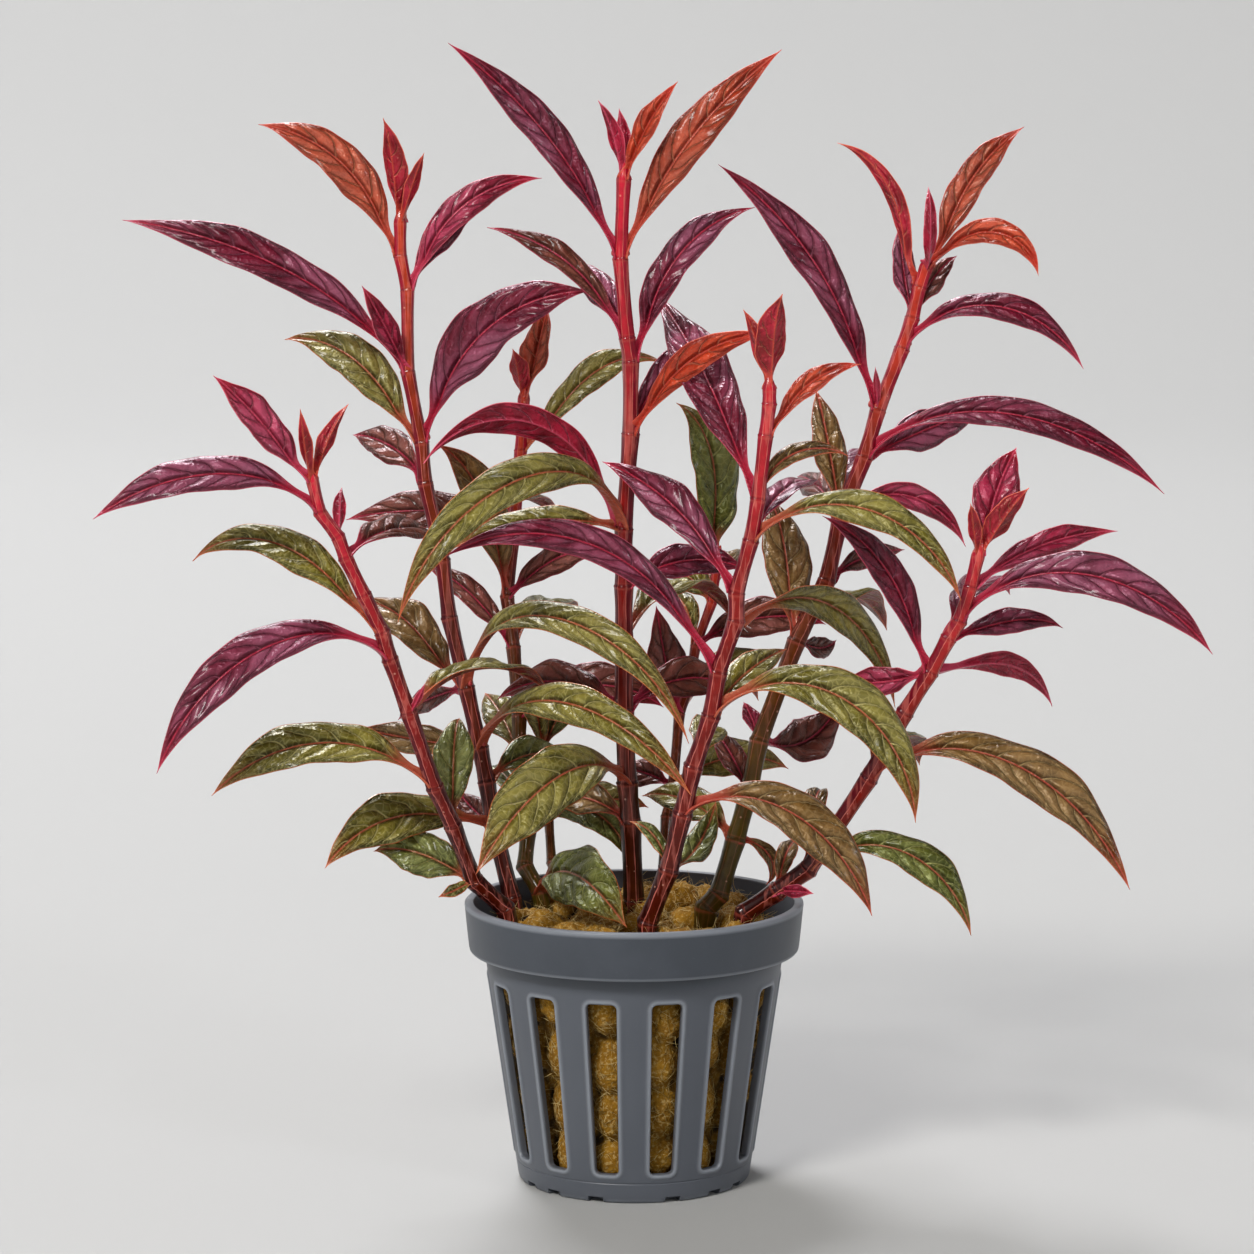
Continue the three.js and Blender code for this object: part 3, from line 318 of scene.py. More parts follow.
def smoothStep(low, high, value):
    t = np.clip((value - low) / (high - low), 0, 1)
    return t * t * (3 - 2 * t)


# Mesh chunks: arrays that are joined into one object

leafNumbers = ("along", "reach", "ribDistance", "edgeDistance", "veinPhase", "topFace")
stemNumbers = ("age", "ochre", "warmth", "jointRing", "jointSeam", "flank")


def joinChunks(name, chunks, materials):
    points, faces, slots = [], [], []
    numbers = {}
    offset = 0
    for chunk in chunks:
        count = len(chunk["points"])
        points.append(chunk["points"])
        faces += [[index + offset for index in face] for face in chunk["faces"]]
        slots += [chunk["slot"]] * len(chunk["faces"])
        for key in leafNumbers + stemNumbers:
            numbers.setdefault(key, []).append(chunk.get(key, np.zeros(count)))
        offset += count
    mesh = bpy.data.meshes.new(name)
    mesh.from_pydata((np.vstack(points) * mm).tolist(), [], faces)
    for key, parts in numbers.items():
        values = np.concatenate(parts).astype(np.float32)
        if values.any():
            mesh.attributes.new(key, "FLOAT", "POINT").data.foreach_set("value", values)
    for material in materials:
        mesh.materials.append(material)
    mesh.polygons.foreach_set("material_index", slots)
    mesh.polygons.foreach_set("use_smooth", [True] * len(faces))
    mesh.update()
    return placed(name, mesh)


def bandFaces(base, ringCount, sides):
    # quads between rings of points that follow one another
    faces = []
    for ring in range(ringCount - 1):
        for k in range(sides):
            a = base + ring * sides + k
            b = base + ring * sides + (k + 1) % sides
            faces.append((a, b, b + sides, a + sides))
    return faces


def ringFaces(ringCount, sides, tipIndex):
    # the bands, a cap at the first ring and a fan to the tip
    faces = bandFaces(0, ringCount, sides)
    faces.append(tuple(reversed(range(sides))))
    last = (ringCount - 1) * sides
    for k in range(sides):
        faces.append((last + k, last + (k + 1) % sides, tipIndex))
    return faces


# Leaves: a thin blade, puffed between its side veins, that folds into a channel where it clasps the stem

leafForm = {
    "columns": (0.05, 0.11, 0.19, 0.29, 0.4, 0.52, 0.64, 0.76, 0.87, 0.95, 1.0),  # across, from rib to edge
    "stationGap": 0.5,  # along the leaf
    "bladeThick": 0.3,
    "keelHalf": 0.42,
    "keelDeep": 0.36,
    "clasp": 0.84,  # half its width at the stem, as a share of the stem's radius
    "crownClasp": 0.98,
    "claspEnd": 0.16,
    "neck": 0.45,  # half its width where it is narrowest
    "fold": 0.7,  # how steeply the halves stand up at the stem
    "foldEnd": 0.34,
    "veinGap": 3.8,  # between side veins
    "veinLean": 0.95,
    "veinCurl": 0.13,
    "veinStray": 0.08,
    "puff": 0.42,
    "wave": 0.42,
    "edgeRipple": 0.05,
    "fineRipple": 0.02,
    "grooveDeep": 0.13,  # along the rib's upper side
    "grooveHalf": 0.28,
    "tipReach": 0.35,  # the point's length, in stations
    "crownLeafFold": 0.1,  # how much more the youngest leaves are folded
    "crownSprigFold": 0.22,
}


def leafStations(stem, row, startOut, steps):
    at, head, rise, droop, ease, long, _, roll, swing, _ = row
    turn = math.radians(head)
    outward = np.array((math.cos(turn), math.sin(turn), 0))
    joint = stemCentres(stem)[at + 1]

    def directions(shares):
        pitch = np.radians(rise - droop * shares ** ease)
        heading = np.radians(head + swing * shares)
        level = np.cos(pitch)
        along = np.stack((level * np.cos(heading), level * np.sin(heading), np.sin(pitch)), 1)
        flatSide = np.stack((np.sin(heading), -np.cos(heading), 0 * heading), 1)
        flatTop = np.cross(flatSide, along)
        lean = math.radians(roll)
        side = flatSide * math.cos(lean) - flatTop * math.sin(lean)
        top = flatTop * math.cos(lean) + flatSide * math.sin(lean)
        return side, top, along

    shares = np.linspace(0, 1, steps + 1)
    side, top, along = directions(shares)
    middle = directions((shares[:-1] + shares[1:]) / 2)[2]
    points = joint + outward * startOut + np.vstack((np.zeros(3), np.cumsum(middle * long / steps, axis=0)))
    # the foot of the leaf bends in to meet the stem
    reachIn = max(0, startOut - 0.55 * stemRadius(stem, at))
    bend = 1 - smoothStep(0, leafForm["claspEnd"] + 0.04, shares)
    points = points - outward * (reachIn * bend)[:, None]
    return points, shares, side, top


def leafChunk(stem, row, startOut, slot, chance, folded):
    at, long, wide = row[0], row[5], row[6]
    form = leafForm
    steps = int(np.clip(long / form["stationGap"], 26, 96))
    points, shares, side, top = leafStations(stem, row, startOut, steps)
    blade = (shares - growth["petioleShare"]) / (1 - growth["petioleShare"])
    cycle = chance.uniform(0, wholeTurn)
    ripple = 1 + form["edgeRipple"] * np.sin(blade * 14 + cycle)
    ripple = ripple + form["fineRipple"] * np.sin(blade * 37 + cycle * 3)
    bladeHalf = wide / 2 * lance(blade) * ripple
    claspHalf = form["crownClasp" if atCrown(stem, row) else "clasp"] * stemRadius(stem, at)
    neckHalf = min(form["neck"], claspHalf) * (1 - 0.93 * shares)
    spread = 1 - smoothStep(0, form["claspEnd"], shares)
    half = np.sqrt(bladeHalf ** 2 + neckHalf ** 2) + max(0, claspHalf - form["neck"]) * spread
    columns = np.array(form["columns"])
    across = np.concatenate((-columns[::-1], [0], columns))
    under = across[1:-1][::-1]
    acrossAll = np.concatenate((across, under))
    isTop = np.concatenate((np.ones(len(across)), np.zeros(len(under))))
    a = acrossAll[None, :]
    h = half[:, None]
    b = blade[:, None]
    size = np.abs(a)
    # side veins leave the rib in turn, left and right, and sweep forward along the margin
    veinCount = max(5, long * 0.91 / form["veinGap"])
    sweep = form["veinLean"] * wide / 2 / long * size + form["veinCurl"] * size ** 3
    strayRight = 0.8 * np.sin(b * 31 + size * 4 + cycle * 2) * (a > 0)
    stray = form["veinStray"] * (np.sin(b * 19 + cycle) + strayRight)
    phase = veinCount * (b - sweep) + 0.5 * (a > 0) + stray + cycle
    between = phase % 1
    puffShape = (4 * between * (1 - between)) ** 0.55 * (0.75 + 0.5 * between)
    window = smoothStep(0.02, 0.22, size) * (1 - smoothStep(0.74, 1.0, size))
    window = window * smoothStep(0.03, 0.2, b) * (1 - smoothStep(0.82, 0.98, b))
    uneven = 0.9 + 0.2 * np.sin(b * 23 + a * 3 + cycle)
    puff = form["puff"] * puffShape * window * uneven * np.clip(h / 3.2, 0.15, 1.2)
    fold = form["fold"] * (1 - smoothStep(0.0, form["foldEnd"], b))
    cup = (growth["cup"] + folded) * chance.uniform(0.8, 1.25) + fold
    arch = cup * h * (1.45 * size - 0.45 * size ** 2)
    sideTurn = np.where(a > 0, 0.0, 2.1)
    bladeShare = smoothStep(0.02, 0.2, b)
    wave = form["wave"] * size ** 2.2 * np.sin(b * 13 + cycle * 2 + sideTurn)
    wave = wave * bladeShare * np.clip(h / 3, 0, 1.2)
    middle = arch + puff + wave
    edgeShape = np.sqrt(np.clip(1 - size ** 6, 0, 1))
    foot = 1 - smoothStep(-0.1, 0.16, b)
    thick = form["bladeThick"] * edgeShape * (1 - 0.4 * b.clip(0, 1)) * (1 + 0.9 * foot)
    keelHalf = form["keelHalf"] * (1 - 0.75 * shares)[:, None]
    keel = np.sqrt(np.clip(1 - (size * h / keelHalf) ** 2, 0, 1))
    keel = keel * form["keelDeep"] * (1 - 0.7 * shares)[:, None]
    groove = form["grooveDeep"] * np.exp(-(size * h / form["grooveHalf"]) ** 2)
    upper = middle + thick / 2 - groove
    lower = middle - thick / 2 - keel
    height = np.where(isTop[None, :] > 0.5, upper, lower)
    rings = points[:, None, :] + side[:, None, :] * (a * h)[:, :, None] + top[:, None, :] * height[:, :, None]
    sides = len(acrossAll)
    tip = points[-1] + (points[-1] - points[-2]) * form["tipReach"]
    allPoints = np.vstack((rings.reshape(-1, 3), tip))
    full = np.ones((len(points), sides))

    def perPoint(values, last):
        return np.append((values * full).ravel(), last)

    return {
        "points": allPoints,
        "faces": ringFaces(len(points), sides, len(allPoints) - 1),
        "slot": slot,
        "along": perPoint(b, 1),
        "reach": perPoint(b * long + cycle * long, long + cycle * long),
        "ribDistance": perPoint(a * h, 0),
        "edgeDistance": perPoint((1 - size) * h, 0),
        "veinPhase": perPoint(phase, 0),
        "topFace": perPoint(isTop[None, :], 1),
    }


# Stems: a dark seam and a pale flared collar at each joint, four soft ridges along the internodes

stemForm = {
    "sides": 28,
    "step": 1.0,
    "collar": 0.1,  # how far the joint flares, as a share of the radius
    "collarReach": 2.1,
    "seam": 0.018,
    "waist": 0.06,
    "corner": 0.05,
    "ridge": 0.014,
    "apex": 2.6,  # how far the tip's growing point stands over the last joint
    "budsAbove": 2,  # no buds up to this joint
    "budLong": 0.8,
    "budWide": 0.34,
    "ochre": {"right_tall": 0.8, "back_left": 0.75, "back_slim": 0.6, "back_right": 0.35, "middle_tall": 0.1},
    "warmth": {
        "left_tall": 0.9, "right_tall": 0.7, "right_low": 0.25,
        "front": 0.15, "back_left": 0.8, "back_right": 0.6,
    },
    "ringsAbove": (0, 0.1, 0.2, 0.32, 0.5, 0.8, 1.3),  # heights of the close rings over a joint
    "ringsBelow": (0.12, 0.26, 0.5, 0.9, 1.5),
    # how far along and how wide each ring of a growing point and of a bud is
    "apexRings": ((0, 1.08), (0.15, 1.0), (0.35, 0.82), (0.55, 0.6), (0.75, 0.36), (0.9, 0.17)),
    "budRings": ((0, 0.7), (0.2, 1), (0.45, 0.95), (0.7, 0.65), (0.9, 0.28)),
    "budSides": 8,
    "ochreTop": 95,  # the ochre foot fades out at this height
    "ochreFade": 40,
}


def stemChunk(stem, ochre, warmth, chance):
    form = stemForm
    centres = stemCentres(stem)
    rows = []  # centre, radius, pale collar share, dark seam share
    for i in range(len(centres) - 1):
        low, high = centres[i], centres[i + 1]
        length = np.linalg.norm(high - low)
        marks = {0.0}
        marks.update(s for s in form["ringsAbove"] if s < length * 0.5)
        marks.update(length - s for s in form["ringsBelow"] if s < length * 0.5)
        fill = np.arange(form["step"] * 1.7, length - form["step"] * 1.5, form["step"])
        marks.update(float(s) for s in fill)
        for s in sorted(marks):
            share = s / length
            above = length - s  # distance under the next joint
            swell = form["collar"] * math.exp(-(above / form["collarReach"]) ** 1.4)
            seam, collar = 0, math.exp(-(above / 0.5) ** 2)
            if i > 0:
                swell += form["collar"] * math.exp(-(s / 0.16) ** 2)
                swell += 0.06 * math.exp(-s / 1.1)
                swell -= form["seam"] * math.exp(-((s - 0.24) / 0.1) ** 2)
                seam = math.exp(-((s - 0.2) / 0.12) ** 2)
                collar = max(collar, 0.7 * math.exp(-((s - 0.55) / 0.22) ** 2))
            radius = stemRadius(stem, i - 1 + share) * (1 + swell - form["waist"] * math.sin(math.pi * share))
            rows.append((low + (high - low) * share, radius, collar, seam))
    # the growing point, among the youngest leaves
    topRadius = stemRadius(stem, len(stem["joints"]))
    topWay = (centres[-1] - centres[-2]) / np.linalg.norm(centres[-1] - centres[-2])
    for share, girth in form["apexRings"]:
        rows.append((centres[-1] + topWay * form["apex"] * share, topRadius * girth, 0, 0))
    line, radii, collars, seams = (np.array(column) for column in zip(*rows))
    # the corners at the joints are eased so that the stem bends rather than kinks
    eased = line.copy()
    for _ in range(2):
        eased[1:-1] = eased[1:-1] * 0.5 + (eased[:-2] + eased[2:]) * 0.25
    along = np.gradient(eased, axis=0)
    along /= np.linalg.norm(along, axis=1)[:, None]
    across = np.cross(along, (1.0, 0, 0))
    across /= np.linalg.norm(across, axis=1)[:, None]
    third = np.cross(along, across)
    sides = form["sides"]
    angle = np.arange(sides) / sides * 2 * math.pi
    turn = chance.uniform(0, wholeTurn)
    ridge = 1 + form["corner"] * np.cos(angle * 4 + turn) + form["ridge"] * np.cos(angle * 11 + turn * 2)
    reach = radii[:, None] * ridge[None, :]
    points = eased[:, None, :] + across[:, None, :] * (reach * np.cos(angle))[:, :, None]
    points = points + third[:, None, :] * (reach * np.sin(angle))[:, :, None]
    tip = eased[-1] + along[-1] * radii[-1]
    allPoints = np.vstack((points.reshape(-1, 3), tip))
    count = len(rows)
    tipHeight = centres[-1][2]
    soil = growth["soilLevel"]
    age = np.clip((tipHeight - eased[:, 2]) / (tipHeight - soil), 0, 1.2)
    low = np.clip((form["ochreTop"] - eased[:, 2]) / form["ochreFade"], 0, 1)
    full = np.ones((count, sides))
    # the two flanks are redder than the front and the back
    flank = np.abs(np.sin(angle + 0.2 * np.sin(turn)))[None, :] * full

    def perPoint(values, last):
        return np.append((values * full).ravel(), last)

    return {
        "points": allPoints,
        "faces": ringFaces(count, sides, len(allPoints) - 1),
        "slot": 0,
        "age": perPoint(age[:, None], 0),
        "ochre": perPoint(ochre * low[:, None], 0),
        "warmth": perPoint(np.full((count, 1), warmth), warmth),
        "jointRing": perPoint(collars[:, None], 0),
        "jointSeam": perPoint(seams[:, None], 0),
        "flank": perPoint(flank, 0),
    }


def budChunk(stem, row, chance):
    # a small pointed bud in the angle between a leaf and its stem
    at, head, rise = row[0], row[1] + chance.uniform(-20, 20), math.radians(min(80, row[2] + 10))
    turn = math.radians(head)
    outward = np.array((math.cos(turn), math.sin(turn), 0))
    along = outward * math.cos(rise) + np.array((0, 0, math.sin(rise)))
    side = np.array((math.sin(turn), -math.cos(turn), 0))
    top = np.cross(side, along)
    long = stemForm["budLong"] * chance.uniform(0.8, 1.4)
    wide = stemForm["budWide"] * chance.uniform(0.9, 1.2)
    start = stemCentres(stem)[at + 1] + outward * stemRadius(stem, at) * 0.95 + np.array((0, 0, 0.5))
    sides = stemForm["budSides"]
    angle = np.arange(sides) / sides * 2 * math.pi
    points = []
    for share, girth in stemForm["budRings"]:
        centre = start + along * long * share
        offset = side[None, :] * np.cos(angle)[:, None] + top[None, :] * np.sin(angle)[:, None]
        points.append(centre + offset * wide * girth)
    points = np.vstack(points + [start + along * long])
    count = len(points)
    return {
        "points": points,
        "faces": ringFaces(len(stemForm["budRings"]), sides, count - 1),
        "slot": 0,
        "age": np.zeros(count),
        "jointRing": np.full(count, 0.6),
        "flank": np.full(count, 0.5),
    }


# Net pot: a tapered basket with a collar, a raised lip round each long slot, foot notches and drain holes

potForm = {
    "slots": 14,
    "footRadius": 17.2,
    "bodyTopRadius": 22.1,
    "collarFoot": 34.2,
    "rim": 41.4,
    "collarInside": ((33.3, 20.95), (34.7, 22.4), (35.6, 22.95), (41.15, 23.6)),  # height, radius
    "collarTuck": (22.3, 34.14),  # radius, height
    "underRadii": (22.6, 23.75),  # of the collar's underside
    "collarSide": (
        (24.1, 34.26), (24.28, 34.45), (24.36, 34.8), (24.62, 37.2),
        (24.93, 40.5), (25.0, 40.95), (24.97, 41.2), (24.85, 41.35),
    ),
    "rimRadii": (24.65, 23.95),
    "rimInner": (23.72, 41.34),
    "neckHeights": (33.4, 33.95),  # where the wall meets the collar's underside
    "footBevel": 0.6,
    "grooveHeights": (3.12, 3.0, 2.88),  # a fine line round the foot
    "grooveDeep": 0.1,
    "toeHeights": (1.6, 0.75),
    "toe": ((0.12, 0.3), (0.4, 0.07)),  # how far in from the foot's radius, and height
    "soleRadii": (13, 7, 0),
    "cornerHeight": 2.0,  # where the inner wall starts over the floor
    "cornerIn": 0.5,
    "wall": 1.2,
    "floor": 1.4,
    "slotFoot": 4.4,
    "slotTop": 30.2,
    "slotFootHalf": 1.7,
    "slotTopHalf": 2.2,
    "slotCorner": 0.7,
    "patchFoot": 3.3,
    "patchTop": 32.0,
    "notchAngles": (19, 43, 61),
    "notchSize": (2.3, 3.8, 1.8),
    "drainRadius": 1.8,
    "drainRing": 9.5,
    "drains": 7,
    "paintedHighlightRadius": 23.7,  # the edges beyond this radius are painted paler, as a highlight
    "paintedHighlightRim": 40.9,
    "paintedHighlightUnder": 34.5,
    "paintedHighlightFoot": 0.5,
    "paintedHighlightFootRadius": 16.6,
}
acrossSteps = 8  # columns of a slot's patch
upSteps = 18
arcSteps = 2


def potRadius(z):
    form = potForm
    share = (z - form["footBevel"]) / (form["collarFoot"] - form["footBevel"])
    return form["footRadius"] + (form["bodyTopRadius"] - form["footRadius"]) * share


def slotOutline(grow):
    # u and z of points round the slot, from its lower left corner, anticlockwise from outside
    form = potForm
    low, high = form["slotFootHalf"], form["slotTopHalf"]
    corner = form["slotCorner"]
    radius = corner + grow
    centres = [
        (low - corner, form["slotFoot"] + corner), (high - corner, form["slotTop"] - corner),
        (corner - high, form["slotTop"] - corner), (corner - low, form["slotFoot"] + corner),
    ]

    def arcPoint(which, degreesRound):
        turn = math.radians(degreesRound)
        x, z = centres[which]
        return np.array((x + radius * math.cos(turn), z + radius * math.sin(turn)))

    def run(first, second, startTurn, steps):
        # half an arc, a straight stretch and half an arc
        points = [arcPoint(first, startTurn + 45 * k / arcSteps) for k in range(arcSteps)]
        a = arcPoint(first, startTurn + 45)
        b = arcPoint(second, startTurn + 45)
        straight = steps - 2 * arcSteps
        points += [a + (b - a) * k / straight for k in range(straight)]
        points += [arcPoint(second, startTurn + 45 + 45 * k / arcSteps) for k in range(arcSteps)]
        return points

    outline = run(3, 0, 225, acrossSteps) + run(0, 1, 315, upSteps)
    outline += run(1, 2, 45, acrossSteps) + run(2, 3, 135, upSteps)
    return np.array(outline)


def patchBorder():
    # angle and z round the patch, matching the outline point for point
    half = math.pi / potForm["slots"]
    foot, top = potForm["patchFoot"], potForm["patchTop"]
    border = [(-half + 2 * half * k / acrossSteps, foot) for k in range(acrossSteps)]
    border += [(half, foot + (top - foot) * k / upSteps) for k in range(upSteps)]
    border += [(half - 2 * half * k / acrossSteps, top) for k in range(acrossSteps)]
    border += [(-half, top - (top - foot) * k / upSteps) for k in range(upSteps)]
    return np.array(border)


def potPoint(angle, z, depth):
    # the front is -Y, and depth is counted inwards from the outer face
    radius = potRadius(z) - depth
    return (radius * math.sin(angle), -radius * math.cos(angle), z)


def potProfiles():
    # radius and height round the pot below the slots, and above them
    form = potForm
    wall, floor, foot, top = form["wall"], form["floor"], form["patchFoot"], form["patchTop"]
    grooveTop, grooveMiddle, grooveFoot = form["grooveHeights"]
    lower = [(potRadius(foot), foot), (potRadius(grooveTop), grooveTop)]
    lower.append((potRadius(grooveMiddle) - form["grooveDeep"], grooveMiddle))
    lower += [(potRadius(z), z) for z in (grooveFoot, *form["toeHeights"])]
    lower += [(form["footRadius"] - inset, z) for inset, z in form["toe"]]
    lower.append((form["footRadius"] - form["footBevel"] - 0.1, 0))
    lower += [(radius, 0) for radius in form["soleRadii"]]
    lower += [(radius, floor) for radius in reversed(form["soleRadii"])]
    lower.append((form["footRadius"] - wall - form["cornerIn"], floor))
    lower += [(potRadius(z) - wall, z) for z in (form["cornerHeight"], foot)]
    upper = [(potRadius(z), z) for z in (top, *form["neckHeights"])]
    upper.append(form["collarTuck"])
    upper += [(radius, form["collarFoot"]) for radius in form["underRadii"]]
    upper += form["collarSide"]
    upper += [(radius, form["rim"]) for radius in form["rimRadii"]]
    upper.append(form["rimInner"])
    upper += [(radius, z) for z, radius in reversed(form["collarInside"])]
    upper.append((potRadius(top) - wall, top))
    return lower, upper


def buildPotMesh():
    form = potForm
    wall = form["wall"]
    points, faces, paintedHighlightShares = [], [], []
    border = patchBorder()
    # grow, depth and paleness of each ring, from the outer face through the slot to the inner face; the
    # paleness is a painted highlight on the slot's lip
    lip = [(0.95, 0, 0), (0.72, -0.04, 0.2), (0.54, -0.17, 0.7), (0.34, -0.2, 1), (0.16, -0.13, 1)]
    lip += [(0.04, 0.05, 0.6), (0, 0.28, 0.1), (0, wall * 0.55, 0), (0, wall - 0.16, 0), (0.16, wall, 0)]
    for sector in range(form["slots"]):
        centre = (sector + 0.5) * 2 * math.pi / form["slots"]
        rings = []
        for share in (1.0, 0.66, 0.33):
            outline = slotOutline(lip[0][0])
            angles = np.arcsin(outline[:, 0] / potRadius(outline[:, 1]))
            mixed = np.stack((angles, outline[:, 1]), 1) * (1 - share) + border * share
            rings.append([potPoint(centre + a, z, 0) for a, z in mixed])
            paintedHighlightShares += [0] * len(border)
        for grow, depth, pale in lip:
            outline = slotOutline(grow)
            angles = np.arcsin(outline[:, 0] / (potRadius(outline[:, 1]) - depth))
            rings.append([potPoint(centre + a, z, depth) for a, z in zip(angles, outline[:, 1])])
            paintedHighlightShares += [pale] * len(border)
        for share in (0.5, 1.0):
            outline = slotOutline(lip[-1][0])
            angles = np.arcsin(outline[:, 0] / (potRadius(outline[:, 1]) - wall))
            mixed = np.stack((angles, outline[:, 1]), 1) * (1 - share) + border * share
            rings.append([potPoint(centre + a, z, wall) for a, z in mixed])
            paintedHighlightShares += [0] * len(border)
        sides = len(border)
        base = len(points)
        for ring in rings:
            points += ring
        faces += bandFaces(base, len(rings), sides)
    columns = form["slots"] * acrossSteps
    for profile in potProfiles():
        base = len(points)
        for radius, z in profile:
            # painted highlights on the rim, the collar's lower edge and the foot's edge
            onRim = z > form["paintedHighlightRim"] and radius > form["paintedHighlightRadius"]
            underCollar = z < form["paintedHighlightUnder"] and radius > form["paintedHighlightRadius"]
            onFoot = 0 < z < form["paintedHighlightFoot"] and radius > form["paintedHighlightFootRadius"]
            paintedHighlightShares += [0.9 * onRim + 0.75 * underCollar + 0.4 * onFoot] * columns
            for k in range(columns):
                angle = k / columns * 2 * math.pi
                points.append((radius * math.sin(angle), -radius * math.cos(angle), z))
        faces += bandFaces(base, len(profile), columns)
    mesh = bpy.data.meshes.new("netPot")
    mesh.from_pydata((np.array(points) * mm).tolist(), [], faces)
    edge = mesh.attributes.new("paintedEdgeHighlightShare", "FLOAT", "POINT")
    edge.data.foreach_set("value", np.array(paintedHighlightShares, np.float32))
    builder = bmesh.new()
    builder.from_mesh(mesh)
    bmesh.ops.remove_doubles(builder, verts=builder.verts, dist=0.004 * mm)
    bmesh.ops.dissolve_degenerate(builder, dist=0.001 * mm, edges=builder.edges)
    bmesh.ops.recalc_face_normals(builder, faces=builder.faces)
    builder.to_mesh(mesh)
    builder.free()
    return mesh


def applied(piece):
    # the mesh with its modifiers worked in, and the modifiers taken off
    graph = bpy.context.evaluated_depsgraph_get()
    made = bpy.data.meshes.new_from_object(piece.evaluated_get(graph))
    piece.modifiers.clear()
    piece.data = made
    return piece


def buildPot(material):
    form = potForm
    piece = placed("netPot", buildPotMesh())
    cutter = bmesh.new()
    width, deep, high = form["notchSize"]
    for angle in form["notchAngles"]:
        for turned in (angle, -angle, 180 + angle, 180 - angle):
            turn = Matrix.Rotation(math.radians(turned), 4, "Z")
            place = Matrix.Translation((0, -form["footRadius"] * mm, 0))
            size = Matrix.Diagonal((width * mm, deep * mm, high * mm, 1))
            bmesh.ops.create_cube(cutter, size=1, matrix=turn @ place @ size)
    for k in range(form["drains"]):
        turn = Matrix.Rotation(k / form["drains"] * 2 * math.pi, 4, "Z")
        place = Matrix.Translation((0, -form["drainRing"] * mm, form["floor"] / 2 * mm))
        radius = form["drainRadius"] * mm
        bmesh.ops.create_cone(
            cutter, cap_ends=True, segments=28, radius1=radius, radius2=radius,
            depth=form["floor"] * 2.4 * mm, matrix=turn @ place,
        )
    cutMesh = bpy.data.meshes.new("potCutter")
    cutter.to_mesh(cutMesh)
    cutter.free()
    cutPiece = placed("potCutter", cutMesh)
    cut = piece.modifiers.new("notchesAndDrains", "BOOLEAN")
    cut.operation = "DIFFERENCE"
    cut.solver = "EXACT"
    cut.object = cutPiece
    bpy.context.view_layer.update()
    applied(piece)
    bpy.data.objects.remove(cutPiece)
    piece.data.materials.clear()
    piece.data.materials.append(material)
    piece.data.polygons.foreach_set("use_smooth", [True] * len(piece.data.polygons))
    piece.data.polygons.foreach_set("material_index", [0] * len(piece.data.polygons))
    piece.data.set_sharp_from_angle(angle=math.radians(38))
    return piece


# Rock wool: fibrous lumps pressed against the slots, and a lumpy crown between the stems

woolForm = {
    "foot": 1.9,
    "top": 37.6,
    "coreBelowTop": 1.5,
    "coreRadii": (13.2, 17.4),  # foot and top
    "gap": 0.5,
    "wallGap": 0.3,  # kept between the wool and the pot's wall
    "mound": (5, 9, 2.6, 7.5),  # x, y, height and reach
    "voxel": 0.44,
    "rows": 4,
    "firstRow": 5.8,
    "rowGap": 7.6,
    "lumpHalfWidth": 3.1,
    "lumpHalfHeight": 4.4,
    "crownLumps": 30,
    "crownReach": 18.6,
    "crownWide": (2.3, 3.5),  # from, to
    "crownHigh": (2.0, 3.0),
    "crownTurn": 2.39996,  # radians from each crown lump to the next
    "crumpleFrom": 33,
    "roughness": 0.36,
    "crumple": 0.85,
    "twist": 0.5,
    # x, y, height and half-width of the large lumps between the stems
    "largeLumps": (
        (8.2, -16.2, 37.9, 3.9), (-12.5, -14.0, 37.6, 3.4), (-3.2, -18.6, 37.4, 2.9),
        (14.6, -12.6, 37.6, 3.4), (-6.0, 11.5, 39.2, 4.2), (14.5, 9.0, 38.6, 3.8),
        (5.5, 11.0, 39.8, 4.4), (0.5, 19.0, 38.6, 3.4), (-17.5, 3.5, 37.5, 3.2),
        (10.5, 18.0, 38.6, 3.2), (-12.0, 17.5, 38.2, 3.2), (18.6, -2.0, 37.4, 3.0),
    ),
}


def wallInside(z):
    # the straight wall, then the wider hollow inside the collar
    heights, radii = zip(*potForm["collarInside"])
    straight = potRadius(np.minimum(z, heights[0])) - potForm["wall"]
    return np.where(np.less(z, heights[0]), straight, np.interp(z, heights, radii))


def addLump(builder, place, size, chance):
    spin = Matrix.Rotation(chance.uniform(0, wholeTurn), 4, "Z")
    turn = spin @ Matrix.Rotation(chance.uniform(-0.3, 0.3), 4, "X")
    scale = Matrix.Diagonal((size[0] * mm, size[1] * mm, size[2] * mm, 1))
    where = Matrix.Translation(Vector(place) * mm)
    bmesh.ops.create_icosphere(builder, subdivisions=3, radius=1, matrix=where @ turn @ scale)


